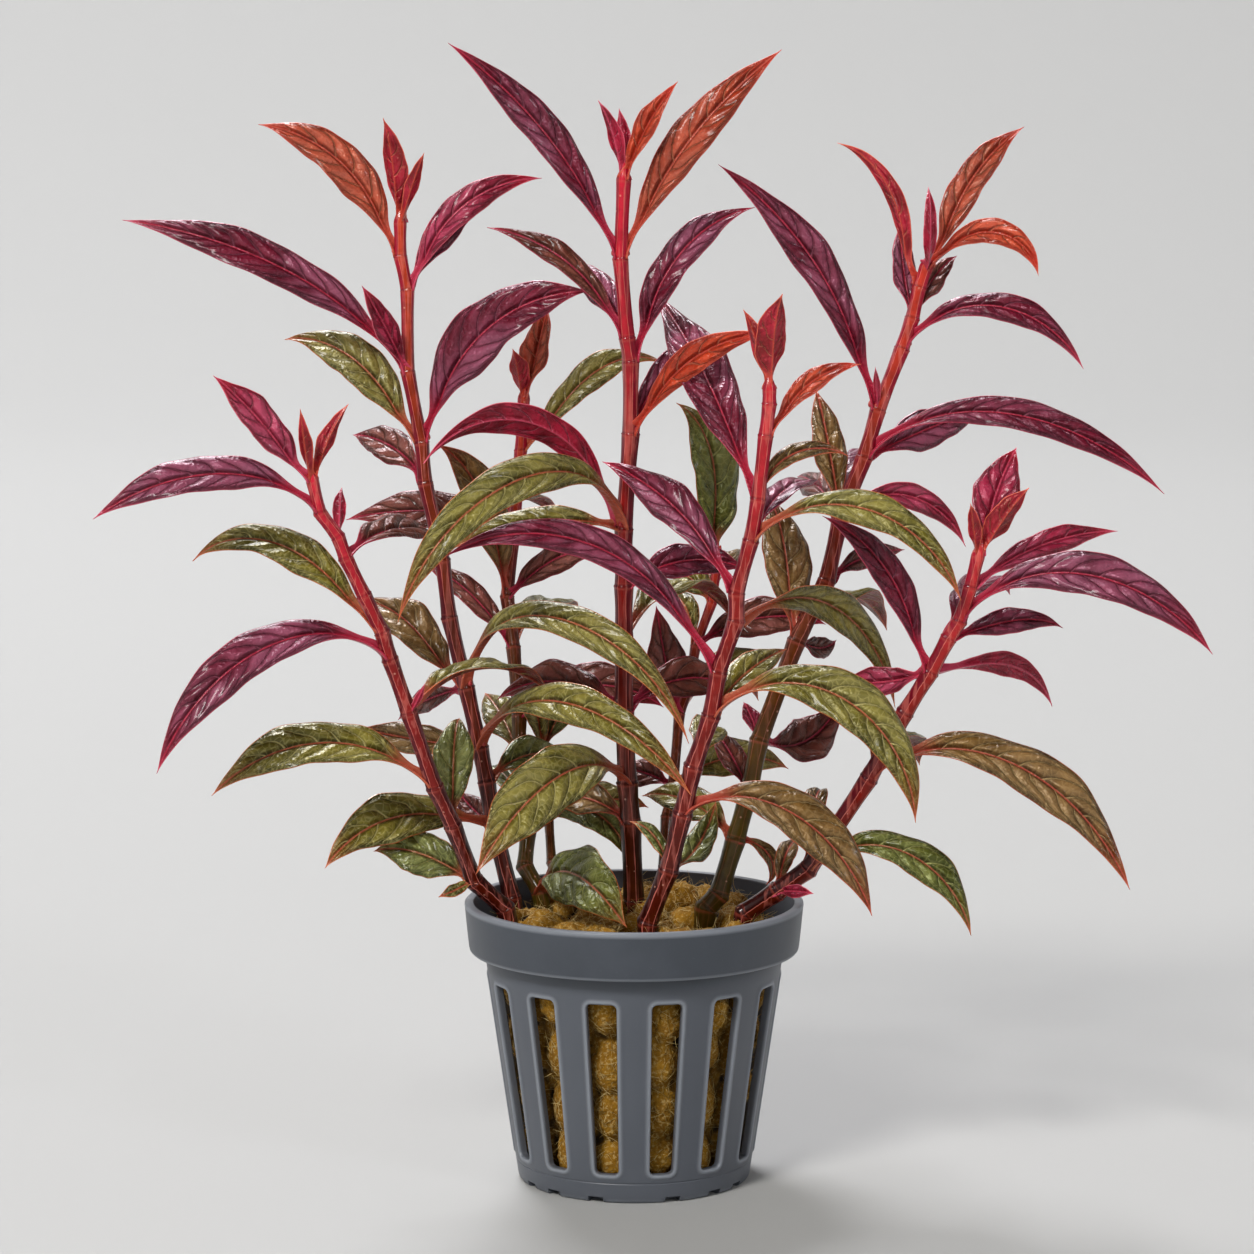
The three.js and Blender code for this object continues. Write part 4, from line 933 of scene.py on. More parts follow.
def buildWool(material):
    form = woolForm
    chance = random.Random(plantSeed)
    builder = bmesh.new()
    moundX, moundY, moundHigh, moundReach = form["mound"]
    coreFoot, coreTop = form["coreRadii"]
    coreHigh = form["top"] - form["foot"] - form["coreBelowTop"]
    coreAt = Matrix.Translation((0, 0, (form["foot"] + coreHigh / 2) * mm))
    bmesh.ops.create_cone(
        builder, cap_ends=True, segments=56, radius1=coreFoot * mm, radius2=coreTop * mm,
        depth=coreHigh * mm, matrix=coreAt,
    )
    for column in range(potForm["slots"]):
        for row in range(form["rows"]):
            z = form["firstRow"] + row * form["rowGap"] + chance.uniform(-1.3, 1.3)
            angle = (column + 0.5) * 2 * math.pi / potForm["slots"] + chance.uniform(-0.045, 0.045)
            wide = form["lumpHalfWidth"] * chance.uniform(0.88, 1.12)
            high = form["lumpHalfHeight"] * chance.uniform(0.85, 1.1)
            radius = wallInside(z) - form["gap"] - wide + chance.uniform(-0.5, 0.2)
            place = (radius * math.sin(angle), -radius * math.cos(angle), z)
            addLump(builder, place, (wide, wide, high), chance)
    # the crown's lumps lie in a sunflower pattern
    for k in range(form["crownLumps"]):
        reach = math.sqrt((k + 0.5) / form["crownLumps"]) * form["crownReach"]
        angle = k * form["crownTurn"] + chance.uniform(-0.2, 0.2)
        wide = chance.uniform(*form["crownWide"])
        high = chance.uniform(*form["crownHigh"])
        x, y = reach * math.sin(angle), -reach * math.cos(angle)
        away = math.hypot(x - moundX, y - moundY) / moundReach
        z = form["top"] - 1.4 + chance.uniform(-0.5, 0.7) + moundHigh * math.exp(-away ** 2)
        addLump(builder, (x, y, z), (wide, wide * chance.uniform(0.8, 1.1), high), chance)
    for x, y, z, wide in form["largeLumps"]:
        addLump(builder, (x, y, z - 0.8), (wide, wide * chance.uniform(0.75, 1.0), wide * 0.72), chance)
    mesh = bpy.data.meshes.new("rockWool")
    builder.to_mesh(mesh)
    builder.free()
    piece = placed("rockWool", mesh)
    remesh = piece.modifiers.new("weld", "REMESH")
    remesh.mode = "VOXEL"
    remesh.voxel_size = form["voxel"] * mm
    smooth = piece.modifiers.new("settle", "SMOOTH")
    smooth.factor = 0.5
    smooth.iterations = 2
    bpy.context.view_layer.update()
    applied(piece)
    roughenWool(piece)
    piece.data.materials.clear()
    piece.data.materials.append(material)
    piece.data.polygons.foreach_set("use_smooth", [True] * len(piece.data.polygons))
    return piece


def roughenWool(piece):
    # matted strands: ridges that follow a slowly turning direction, and small pits
    form = woolForm
    mesh = piece.data
    count = len(mesh.vertices)
    points = np.zeros(count * 3, np.float32)
    normals = np.zeros(count * 3, np.float32)
    mesh.vertices.foreach_get("co", points)
    mesh.vertices.foreach_get("normal", normals)
    points = points.reshape(-1, 3) / mm
    normals = normals.reshape(-1, 3)
    edges = np.zeros(len(mesh.edges) * 2, np.int32)
    mesh.edges.foreach_get("vertices", edges)
    edges = edges.reshape(-1, 2)
    moved = np.zeros(count)
    for i in range(count):
        p = Vector(points[i])
        warp = noise.noise_vector(p * 0.22) * form["twist"] * 9
        strand = noise.noise(Vector((p.x * 1.1 + warp.x, p.y * 1.1 + warp.y, p.z * 0.55 + warp.z)))
        moved[i] = form["roughness"] * (0.8 * strand + 0.5 * noise.noise(p * 2.3))
        folds = 0.35 - abs(noise.noise(p * 0.42 + warp * 0.15)) * 1.6
        moved[i] += form["crumple"] * folds * (p.z > form["crumpleFrom"])
    points = points + normals * moved[:, None]
    room = wallInside(points[:, 2]) - form["wallGap"]
    inside = room / np.maximum(0.001, np.hypot(points[:, 0], points[:, 1]))
    pressed = np.where(points[:, 2] < potForm["rim"], np.minimum(1, inside), 1)
    points[:, 0] *= pressed
    points[:, 1] *= pressed
    mesh.vertices.foreach_set("co", (points * mm).astype(np.float32).ravel())
    # painted crease shade: how far a point lies below its neighbours, spread a little; the wool is painted
    # darker there
    near = np.zeros((count, 3))
    share = np.zeros(count)
    for a, b in ((0, 1), (1, 0)):
        np.add.at(near, edges[:, a], points[edges[:, b]])
        np.add.at(share, edges[:, a], 1)
    paintedCreaseShade = np.einsum("ij,ij->i", near / share[:, None] - points, normals)
    for _ in range(6):
        total = np.zeros(count)
        for a, b in ((0, 1), (1, 0)):
            np.add.at(total, edges[:, a], paintedCreaseShade[edges[:, b]])
        paintedCreaseShade = paintedCreaseShade * 0.4 + 0.6 * total / share
    paintedCreaseShade = np.clip(0.5 + paintedCreaseShade * 9, 0, 1).astype(np.float32)
    mesh.attributes.new("paintedCreaseShade", "FLOAT", "POINT").data.foreach_set("value", paintedCreaseShade)
    mesh.update()


fibreForm = {
    "count": 4200,
    "sections": 4,
    "thin": 0.03,
    "thick": 0.058,
    "short": 1.2,
    "long": 3.8,
    "lift": 0.3,
    "curl": 0.55,
    "clear": 0.06,  # how far a fibre starts over the wool
    "wallGap": 0.12,
    "crownFrom": 35.5,
    "slotHeights": (4, 31),
    "slotHalf": 0.27,  # as a share of the way from slot to slot
    "slotDeep": 3.2,
}


def buildFibres(wool, material):
    form = fibreForm
    chance = random.Random(plantSeed + 1)
    mesh = wool.data
    slotLow, slotHigh = form["slotHeights"]
    candidates = []
    for vertex in mesh.vertices:
        x, y, z = vertex.co / mm
        radius = math.hypot(x, y)
        onTop = z > form["crownFrom"]
        sector = (math.atan2(x, -y) / (2 * math.pi) * potForm["slots"]) % 1
        behindSlot = abs(sector - 0.5) < form["slotHalf"] and slotLow < z < slotHigh
        behindSlot = behindSlot and radius > wallInside(z) - form["slotDeep"]
        if onTop or behindSlot:
            candidates.append(vertex.index)
    points, faces = [], []
    for _ in range(form["count"]):
        vertex = mesh.vertices[chance.choice(candidates)]
        normal = vertex.normal.copy()
        seed = Vector((chance.gauss(0, 1), chance.gauss(0, 1), chance.gauss(0, 1)))
        tangent = (seed - normal * seed.dot(normal)).normalized()
        direction = (tangent + normal * form["lift"] * chance.uniform(-0.2, 1.4)).normalized()
        bend = Vector((chance.gauss(0, 1), chance.gauss(0, 1), chance.gauss(0, 1))) * form["curl"]
        length = chance.uniform(form["short"], form["long"])
        radius = chance.uniform(form["thin"], form["thick"])
        place = vertex.co / mm + normal * form["clear"]
        base = len(points)
        for section in range(form["sections"] + 1):
            side = direction.orthogonal().normalized()
            third = direction.cross(side)
            shrink = 1 - 0.6 * section / form["sections"]
            for k in range(3):
                turn = k / 3 * 2 * math.pi
                offset = side * math.cos(turn) + third * math.sin(turn)
                points.append(place + offset * radius * shrink)
            direction = (direction + bend / form["sections"] - normal * 0.5 / form["sections"]).normalized()
            place = place + direction * length / form["sections"]
            reach = math.hypot(place.x, place.y)
            most = wallInside(place.z) - form["wallGap"]
            if reach > most and place.z < potForm["rim"]:
                place = Vector((place.x * most / reach, place.y * most / reach, place.z))
        faces += bandFaces(base, form["sections"] + 1, 3)
        faces.append((base + 2, base + 1, base))
        last = base + form["sections"] * 3
        faces.append((last, last + 1, last + 2))
    made = bpy.data.meshes.new("woolFibres")
    made.from_pydata([tuple(point * mm) for point in points], [], faces)
    made.materials.append(material)
    made.polygons.foreach_set("use_smooth", [True] * len(faces))
    made.update()
    return placed("woolFibres", made)


# Shader helpers

def linear(hexColour):
    parts = [int(hexColour[k:k + 2], 16) / 255 for k in (1, 3, 5)]
    lifted = [p / 12.92 if p <= 0.04045 else ((p + 0.055) / 1.055) ** 2.4 for p in parts]
    return (*lifted, 1)


def addNode(tree, kind, values=None, **settings):
    node = tree.nodes.new(kind)
    for key, value in settings.items():
        setattr(node, key, value)
    for key, value in (values or {}).items():
        node.inputs[key].default_value = value
    return node


def feed(tree, value, socket):
    if isinstance(value, bpy.types.NodeSocket):
        tree.links.new(value, socket)
    else:
        socket.default_value = value


def sums(tree, operation, first, second=0.0):
    node = addNode(tree, "ShaderNodeMath", operation=operation)
    feed(tree, first, node.inputs[0])
    feed(tree, second, node.inputs[1])
    return node.outputs[0]


def ramp(tree, value, low, high, toLow=0.0, toHigh=1.0):
    node = addNode(tree, "ShaderNodeMapRange", interpolation_type="SMOOTHSTEP")
    feed(tree, value, node.inputs["Value"])
    for key, number in (("From Min", low), ("From Max", high), ("To Min", toLow), ("To Max", toHigh)):
        feed(tree, number, node.inputs[key])
    return node.outputs["Result"]


def blend(tree, share, first, second):
    node = addNode(tree, "ShaderNodeMix", data_type="RGBA")
    feed(tree, share, node.inputs[0])
    feed(tree, first, node.inputs[6])
    feed(tree, second, node.inputs[7])
    return node.outputs[2]


def times(tree, first, second):
    return sums(tree, "MULTIPLY", first, second)


def overlay(tree, skin, mask, share, colour):
    # lays a colour over the skin, where the mask is and as strongly as the share
    return blend(tree, times(tree, mask, share), skin, colour)


def newGroup(name, inputs, outputs):
    tree = bpy.data.node_groups.new(name, "ShaderNodeTree")
    for label, number in inputs:
        socket = tree.interface.new_socket(label, in_out="INPUT", socket_type="NodeSocketFloat")
        socket.default_value = number
    for label in outputs:
        tree.interface.new_socket(label, in_out="OUTPUT", socket_type="NodeSocketFloat")
    return tree, tree.nodes.new("NodeGroupInput").outputs, tree.nodes.new("NodeGroupOutput").inputs


def buildMottle():
    # soft patches of two sizes
    tree, given, made = newGroup("softMottle", [("Scale", 300), ("Low", 0.4), ("High", 0.6)], ["Mask"])
    place = addNode(tree, "ShaderNodeTexCoord")
    broad = addNode(tree, "ShaderNodeTexNoise", {"Detail": 4, "Roughness": 0.6})
    tree.links.new(place.outputs["Object"], broad.inputs["Vector"])
    tree.links.new(given["Scale"], broad.inputs["Scale"])
    mask = ramp(tree, broad.outputs["Fac"], given["Low"], given["High"])
    tree.links.new(mask, made["Mask"])
    return tree


def buildGrain():
    # fine cells and grit, for a height
    inputs = [("Cell Scale", 1500), ("Grit Scale", 4000), ("Cell Share", 0.6)]
    tree, given, made = newGroup("skinGrain", inputs, ["Height"])
    place = addNode(tree, "ShaderNodeTexCoord")
    cells = addNode(tree, "ShaderNodeTexVoronoi", feature="DISTANCE_TO_EDGE")
    tree.links.new(place.outputs["Object"], cells.inputs["Vector"])
    tree.links.new(given["Cell Scale"], cells.inputs["Scale"])
    grit = addNode(tree, "ShaderNodeTexNoise", {"Detail": 2})
    tree.links.new(place.outputs["Object"], grit.inputs["Vector"])
    tree.links.new(given["Grit Scale"], grit.inputs["Scale"])
    cellHeight = ramp(tree, cells.outputs["Distance"], 0.0, 0.25)
    cellPart = times(tree, cellHeight, given["Cell Share"])
    rest = sums(tree, "SUBTRACT", 1.0, given["Cell Share"])
    gritPart = times(tree, grit.outputs["Fac"], rest)
    tree.links.new(sums(tree, "ADD", cellPart, gritPart), made["Height"])
    return tree


def buildLeafPattern():
    # masks of a leaf's rib, veins, margin, tip and foot, and the height of the puffed cells between its veins
    inputs = [("Along", 0), ("Reach", 0), ("Rib Distance", 0), ("Edge Distance", 0), ("Vein Phase", 0)]
    outputs = ["Rib", "Vein", "Net", "Margin", "Tip", "Petiole", "Puff", "Wrinkle"]
    tree, given, made = newGroup("leafPattern", inputs, outputs)
    fromRib = sums(tree, "ABSOLUTE", given["Rib Distance"])
    tree.links.new(ramp(tree, fromRib, 0.05, 0.2, 1.0, 0.0), made["Rib"])
    step = sums(tree, "FRACT", given["Vein Phase"])
    aside = sums(tree, "ABSOLUTE", sums(tree, "SUBTRACT", step, 0.5))
    fadeTip = ramp(tree, given["Along"], 0.84, 0.99, 1.0, 0.0)
    fadeFoot = ramp(tree, given["Along"], 0.02, 0.14)
    fade = times(tree, fadeTip, fadeFoot)
    inside = ramp(tree, given["Edge Distance"], 0.3, 0.8)
    straight = times(tree, ramp(tree, aside, 0.43, 0.48), inside)
    # each side vein bends round to meet the next in a loop along the margin
    loopPlace = sums(tree, "ADD", times(tree, aside, 1.4), 0.38)
    offLoop = sums(tree, "ABSOLUTE", sums(tree, "SUBTRACT", given["Edge Distance"], loopPlace))
    loop = ramp(tree, offLoop, 0.03, 0.12, 0.55, 0.0)
    loop = times(tree, loop, ramp(tree, fromRib, 0.7, 1.5))
    vein = times(tree, sums(tree, "MAXIMUM", straight, loop), fade)
    tree.links.new(vein, made["Vein"])
    # a net of small cells
    along = times(tree, given["Reach"], 0.95)
    across = times(tree, given["Rib Distance"], 0.95)
    place = addNode(tree, "ShaderNodeCombineXYZ")
    tree.links.new(along, place.inputs["X"])
    tree.links.new(across, place.inputs["Y"])
    cells = addNode(tree, "ShaderNodeTexVoronoi", {"Scale": 1.0}, feature="DISTANCE_TO_EDGE")
    tree.links.new(place.outputs["Vector"], cells.inputs["Vector"])
    net = ramp(tree, cells.outputs["Distance"], 0.02, 0.09, 1.0, 0.0)
    tree.links.new(times(tree, net, fade), made["Net"])
    tree.links.new(ramp(tree, given["Edge Distance"], 0.03, 0.17, 1.0, 0.0), made["Margin"])
    tree.links.new(ramp(tree, given["Along"], 0.7, 1.0), made["Tip"])
    tree.links.new(ramp(tree, given["Along"], 0.0, 0.17, 1.0, 0.0), made["Petiole"])
    puff = sums(tree, "POWER", sums(tree, "SUBTRACT", 1.0, times(tree, aside, 2.0)), 0.5)
    puff = times(tree, times(tree, puff, fade), inside)
    puff = times(tree, puff, ramp(tree, fromRib, 0.1, 0.6))
    tree.links.new(puff, made["Puff"])
    dome = ramp(tree, cells.outputs["Distance"], 0.0, 0.32)
    wrinkle = sums(tree, "ADD", times(tree, dome, 0.14), times(tree, puff, 0.86))
    wrinkle = sums(tree, "SUBTRACT", wrinkle, times(tree, vein, 0.3))
    tree.links.new(wrinkle, made["Wrinkle"])
    return tree


mottleGroup = buildMottle()
grainGroup = buildGrain()
leafPatternGroup = buildLeafPattern()


def groupNode(tree, group, values=None):
    return addNode(tree, "ShaderNodeGroup", values, node_tree=group)


def mottle(tree, scale, low, high):
    return groupNode(tree, mottleGroup, {"Scale": scale, "Low": low, "High": high}).outputs["Mask"]


def grainHeight(tree, cellScale, gritScale, cellShare):
    values = {"Cell Scale": cellScale, "Grit Scale": gritScale, "Cell Share": cellShare}
    return groupNode(tree, grainGroup, values).outputs["Height"]


def numberOf(tree, name):
    return addNode(tree, "ShaderNodeAttribute", attribute_name=name).outputs["Fac"]


def newMaterial(name, roughness, coat, coatRoughness=0.25, specular=0.5):
    material = bpy.data.materials.new(name)
    material.use_nodes = True
    shader = material.node_tree.nodes["Principled BSDF"]
    shader.inputs["Roughness"].default_value = roughness
    shader.inputs["Coat Weight"].default_value = coat
    shader.inputs["Coat Roughness"].default_value = coatRoughness
    shader.inputs["Specular IOR Level"].default_value = specular
    return material, material.node_tree, shader


def bumpInto(tree, shader, height, strength, distance, under=None):
    node = addNode(tree, "ShaderNodeBump", {"Strength": strength, "Distance": distance})
    tree.links.new(height, node.inputs["Height"])
    if under is not None:
        tree.links.new(under, node.inputs["Normal"])
    tree.links.new(node.outputs["Normal"], shader.inputs["Normal"])
    return node.outputs["Normal"]


# Leaf tones, from the glowing tips to the green foot
leafTones = {
    "ember": {
        "deep": "#84180a", "bright": "#cc4220", "blush": "#cc2016", "vein": "#dc8464", "rib": "#c04434",
        "margin": "#e46a50", "underDeep": "#7c0618", "underBright": "#b01834", "net": 0.05, "veins": 0.4,
        "sheen": "#ffc8b4", "bloom": "#e47e64", "paintedSheenShare": 0.26,
    },
    "rust": {
        "deep": "#641406", "bright": "#b63e20", "blush": "#b4281a", "vein": "#d88a66", "rib": "#c04e3e",
        "margin": "#dc5648", "underDeep": "#740618", "underBright": "#a01830", "net": 0.05, "veins": 0.4,
        "sheen": "#ffd0b8", "bloom": "#dc8068", "paintedSheenShare": 0.26,
    },
    "crimson": {
        "deep": "#580212", "bright": "#a41a3c", "blush": "#b00c26", "vein": "#c86478", "rib": "#c8445e",
        "margin": "#e46478", "underDeep": "#720218", "underBright": "#a80e30", "net": 0.05, "veins": 0.35,
        "sheen": "#ffb4c8", "bloom": "#d86c8c", "paintedSheenShare": 0.34,
    },
    "plum": {
        "deep": "#34000a", "bright": "#700e26", "blush": "#880c24", "vein": "#a8566c", "rib": "#b0263e",
        "margin": "#cc4c64", "underDeep": "#6a0218", "underBright": "#920e2e", "net": 0.1, "veins": 0.4,
        "sheen": "#f4b8d0", "bloom": "#b46e8a", "paintedSheenShare": 0.4,
    },
    "dusk": {
        "deep": "#34120c", "bright": "#6c3a2c", "blush": "#821c2a", "vein": "#9a6654", "rib": "#ac304a",
        "margin": "#b04054", "underDeep": "#560c18", "underBright": "#821c30", "net": 0.08, "veins": 0.4,
        "sheen": "#b87474", "bloom": "#a86e68", "paintedSheenShare": 0.28,
    },
    "bronze": {
        "deep": "#321f06", "bright": "#765626", "blush": "#8a3014", "vein": "#b89a68", "rib": "#b04438",
        "margin": "#cc6040", "underDeep": "#66141a", "underBright": "#902832", "net": 0.18, "veins": 0.65,
        "sheen": "#f4d8b4", "bloom": "#b8966e", "paintedSheenShare": 0.2,
    },
    "olive": {
        "deep": "#2a2a04", "bright": "#7a7020", "blush": "#843e10", "vein": "#c2b674", "rib": "#b4503c",
        "margin": "#d0683a", "underDeep": "#621616", "underBright": "#902e2c", "net": 0.26, "veins": 0.85,
        "sheen": "#f0e8b8", "bloom": "#bab078", "paintedSheenShare": 0.18,
    },
    "moss": {
        "deep": "#202604", "bright": "#5c601a", "blush": "#725016", "vein": "#acac68", "rib": "#a84e3a",
        "margin": "#c4683a", "underDeep": "#522a14", "underBright": "#744828", "net": 0.24, "veins": 0.75,
        "sheen": "#e4ecb4", "bloom": "#a8ac7c", "paintedSheenShare": 0.18,
    },
}


def leafMaterial(tone):
    numbers = ("net", "veins", "paintedSheenShare")
    look = {key: linear(value) for key, value in leafTones[tone].items() if key not in numbers}
    material, tree, shader = newMaterial(f"{tone}Blade", 0.38, 0.2, 0.15, 0.6)
    shader.inputs["Specular Tint"].default_value = look["sheen"]
    pattern = groupNode(tree, leafPatternGroup)
    names = {"Along": "along", "Reach": "reach", "Rib Distance": "ribDistance"}
    names.update({"Edge Distance": "edgeDistance", "Vein Phase": "veinPhase"})
    for label, name in names.items():
        tree.links.new(numberOf(tree, name), pattern.inputs[label])
    patches = mottle(tree, 240, 0.34, 0.66)
    fine = mottle(tree, 1700, 0.35, 0.75)
    top = blend(tree, patches, look["deep"], look["bright"])
    # painted highlight: the puffed cells between the veins are painted brighter
    lift = times(tree, pattern.outputs["Puff"], 0.5)
    top = blend(tree, lift, top, look["bright"])
    # painted sheen: a broad pale tint over the puffed cells stands in for the lamps' reflection
    wide = mottle(tree, 60, 0.42, 0.6)
    puffShare = ramp(tree, pattern.outputs["Puff"], 0.0, 0.75, 0.3, 1.0)
    bloom = times(tree, times(tree, wide, puffShare), leafTones[tone]["paintedSheenShare"])
    top = blend(tree, bloom, top, look["bloom"])
    # painted shade: the hollows along the veins are painted with the deep colour
    hollow = ramp(tree, pattern.outputs["Wrinkle"], 0.06, 0.42, 0.6, 0.0)
    top = blend(tree, hollow, top, look["deep"])
    top = overlay(tree, top, pattern.outputs["Tip"], 0.75, look["blush"])
    top = overlay(tree, top, pattern.outputs["Net"], leafTones[tone]["net"], look["vein"])
    top = overlay(tree, top, pattern.outputs["Vein"], leafTones[tone]["veins"], look["vein"])
    under = blend(tree, patches, look["underDeep"], look["underBright"])
    under = overlay(tree, under, pattern.outputs["Vein"], 0.4, look["vein"])
    skin = blend(tree, numberOf(tree, "topFace"), under, top)
    skin = overlay(tree, skin, pattern.outputs["Rib"], 0.8, look["rib"])
    skin = overlay(tree, skin, pattern.outputs["Margin"], 0.85, look["margin"])
    skin = overlay(tree, skin, pattern.outputs["Petiole"], 0.9, look["rib"])
    tree.links.new(skin, shader.inputs["Base Color"])
    rough = sums(tree, "ADD", times(tree, fine, 0.08), 0.31)
    tree.links.new(rough, shader.inputs["Roughness"])
    puffed = bumpInto(tree, shader, pattern.outputs["Wrinkle"], 1.0, 0.46 * mm)
    cells = grainHeight(tree, 2300, 5200, 0.6)
    bumpInto(tree, shader, cells, 0.34, 0.06 * mm, puffed)
    return material


# Stem colours from the young top to the old foot: the face between its corners, and the redder flank
stemLook = {
    "youngFace": "#ca1c34",
    "youngFlank": "#a40c2c",
    "grownFace": "#8e1412",
    "grownFlank": "#660418",
    "warmYoung": "#be3a10",
    "warmGrown": "#6c2404",
    "oldFace": "#4c1202",
    "oldFlank": "#2a0402",
    "ochre": "#4e4408",
    "paintedHighlight": "#e27c6e",
    "seam": "#34060a",
    "collar": "#c4584a",
    "dot": "#e8a890",
}


def stemMaterial():
    look = {key: linear(value) for key, value in stemLook.items()}
    material, tree, shader = newMaterial("stemSkin", 0.32, 0.3, 0.08, 0.14)
    age = numberOf(tree, "age")
    warmth = numberOf(tree, "warmth")
    place = addNode(tree, "ShaderNodeTexCoord")
    stretched = addNode(tree, "ShaderNodeMapping", {"Scale": (1, 1, 0.05)})
    tree.links.new(place.outputs["Object"], stretched.inputs["Vector"])
    streaks = addNode(tree, "ShaderNodeTexNoise", {"Scale": 1500, "Detail": 3})
    tree.links.new(stretched.outputs["Vector"], streaks.inputs["Vector"])
    paintedStreakMask = ramp(tree, streaks.outputs["Fac"], 0.52, 0.66)
    growing = ramp(tree, age, 0.0, 0.45)
    aging = ramp(tree, age, 0.45, 1.0)
    youngFace = blend(tree, warmth, look["youngFace"], look["warmYoung"])
    grownFace = blend(tree, warmth, look["grownFace"], look["warmGrown"])
    face = blend(tree, growing, youngFace, grownFace)
    face = blend(tree, aging, face, look["oldFace"])
    flank = blend(tree, growing, look["youngFlank"], look["grownFlank"])
    flank = blend(tree, aging, flank, look["oldFlank"])
    wander = times(tree, sums(tree, "SUBTRACT", streaks.outputs["Fac"], 0.5), 0.3)
    around = sums(tree, "ADD", numberOf(tree, "flank"), wander)
    skin = blend(tree, ramp(tree, around, 0.32, 0.54), face, flank)
    # painted highlights: pale lines along the soft corners, and fainter ones between them
    offCorner = sums(tree, "ABSOLUTE", sums(tree, "SUBTRACT", around, 0.44))
    corner = ramp(tree, offCorner, 0.012, 0.06, 0.75, 0.0)
    paintedStreakShare = times(tree, paintedStreakMask, ramp(tree, age, 0.1, 1.0, 0.42, 0.24))
    skin = blend(tree, sums(tree, "MAXIMUM", corner, paintedStreakShare), skin, look["paintedHighlight"])
    skin = blend(tree, numberOf(tree, "ochre"), skin, look["ochre"])
    patches = mottle(tree, 420, 0.42, 0.62)
    skin = overlay(tree, skin, patches, 0.25, look["oldFlank"])
    # the pale collar at each joint is partly its own tone and partly a painted highlight on the flare
    collar = ramp(tree, numberOf(tree, "jointRing"), 0.3, 0.95)
    skin = overlay(tree, skin, collar, 0.3, look["collar"])
    skin = overlay(tree, skin, numberOf(tree, "jointSeam"), 0.45, look["seam"])
    dots = addNode(tree, "ShaderNodeTexVoronoi", {"Scale": 480.0, "Randomness": 1.0})
    tree.links.new(place.outputs["Object"], dots.inputs["Vector"])
    dotMask = ramp(tree, dots.outputs["Distance"], 0.04, 0.1, 1.0, 0.0)
    skin = overlay(tree, skin, dotMask, 0.5, look["dot"])
    tree.links.new(skin, shader.inputs["Base Color"])
    ridges = bumpInto(tree, shader, streaks.outputs["Fac"], 0.7, 0.2 * mm)
    grain = grainHeight(tree, 2600, 6000, 0.3)
    bumpInto(tree, shader, grain, 0.18, 0.04 * mm, ridges)
    return material


potLook = {
    "body": "#3c4149",
    "worn": "#4a4f58",
    "dust": "#686c75",
    "edge": "#868b93",
    "paintedLightBelowCollar": "#5c6068",
    "paintedLightFrom": 31,  # height where the painted light on the body under the collar starts to fade
    "paintedLightTo": 34,
}


def potMaterial():
    numbers = ("paintedLightFrom", "paintedLightTo")
    look = {key: linear(value) for key, value in potLook.items() if key not in numbers}
    material, tree, shader = newMaterial("greyPlastic", 0.42, 0.0)
    patches = mottle(tree, 90, 0.35, 0.7)
    specks = mottle(tree, 2600, 0.62, 0.8)
    skin = blend(tree, times(tree, patches, 0.45), look["body"], look["worn"])
    place = addNode(tree, "ShaderNodeTexCoord")
    height = addNode(tree, "ShaderNodeSeparateXYZ")
    tree.links.new(place.outputs["Object"], height.inputs["Vector"])
    paintedLightFrom, paintedLightTo = (potLook[key] * mm for key in numbers)
    # painted light: the body under the collar is painted lighter than the collar
    paintedLightMask = ramp(tree, height.outputs["Z"], paintedLightFrom, paintedLightTo, 0.6, 0.0)
    skin = blend(tree, paintedLightMask, skin, look["paintedLightBelowCollar"])
    skin = overlay(tree, skin, specks, 0.3, look["dust"])
    # painted highlight along the slots' lips, the rim, the collar's edge and the foot
    skin = overlay(tree, skin, numberOf(tree, "paintedEdgeHighlightShare"), 0.8, look["edge"])
    tree.links.new(skin, shader.inputs["Base Color"])
    rough = sums(tree, "ADD", times(tree, patches, 0.08), 0.4)
    tree.links.new(rough, shader.inputs["Roughness"])
    grain = grainHeight(tree, 900, 3800, 0.15)
    bumpInto(tree, shader, grain, 0.12, 0.05 * mm)
    return material


woolLook = {
    # deep is the colour of the painted shade in the creases
    "deep": "#2a1b02",
    "body": "#80580a",
    "bright": "#a67a20",
    "fibre": "#d8be80",
    "fibreDeep": "#9c7a2c",
}


def woolMaterial():
    look = {key: linear(value) for key, value in woolLook.items()}
    material, tree, shader = newMaterial("mattedWool", 0.9, 0.0, 0.25, 0.3)
    patches = mottle(tree, 330, 0.38, 0.64)
    specks = mottle(tree, 1900, 0.5, 0.66)
    skin = blend(tree, times(tree, patches, 0.6), look["body"], look["bright"])
    skin = overlay(tree, skin, specks, 0.45, look["fibre"])
    # painted shade: the creases between the lumps are painted with the deep colour
    skin = blend(tree, ramp(tree, numberOf(tree, "paintedCreaseShade"), 0.5, 0.85), skin, look["deep"])
    tree.links.new(skin, shader.inputs["Base Color"])
    grain = grainHeight(tree, 1300, 2600, 0.4)
    bumpInto(tree, shader, grain, 0.6, 0.25 * mm)
    return material


def fibreMaterial():
    look = {key: linear(value) for key, value in woolLook.items()}
    material, tree, shader = newMaterial("strawFibre", 0.5, 0.0)
    patches = mottle(tree, 600, 0.4, 0.6)
    tree.links.new(blend(tree, patches, look["fibreDeep"], look["fibre"]), shader.inputs["Base Color"])
    return material


# Floor and light: a pale dish that curves up all round, and soft lamps

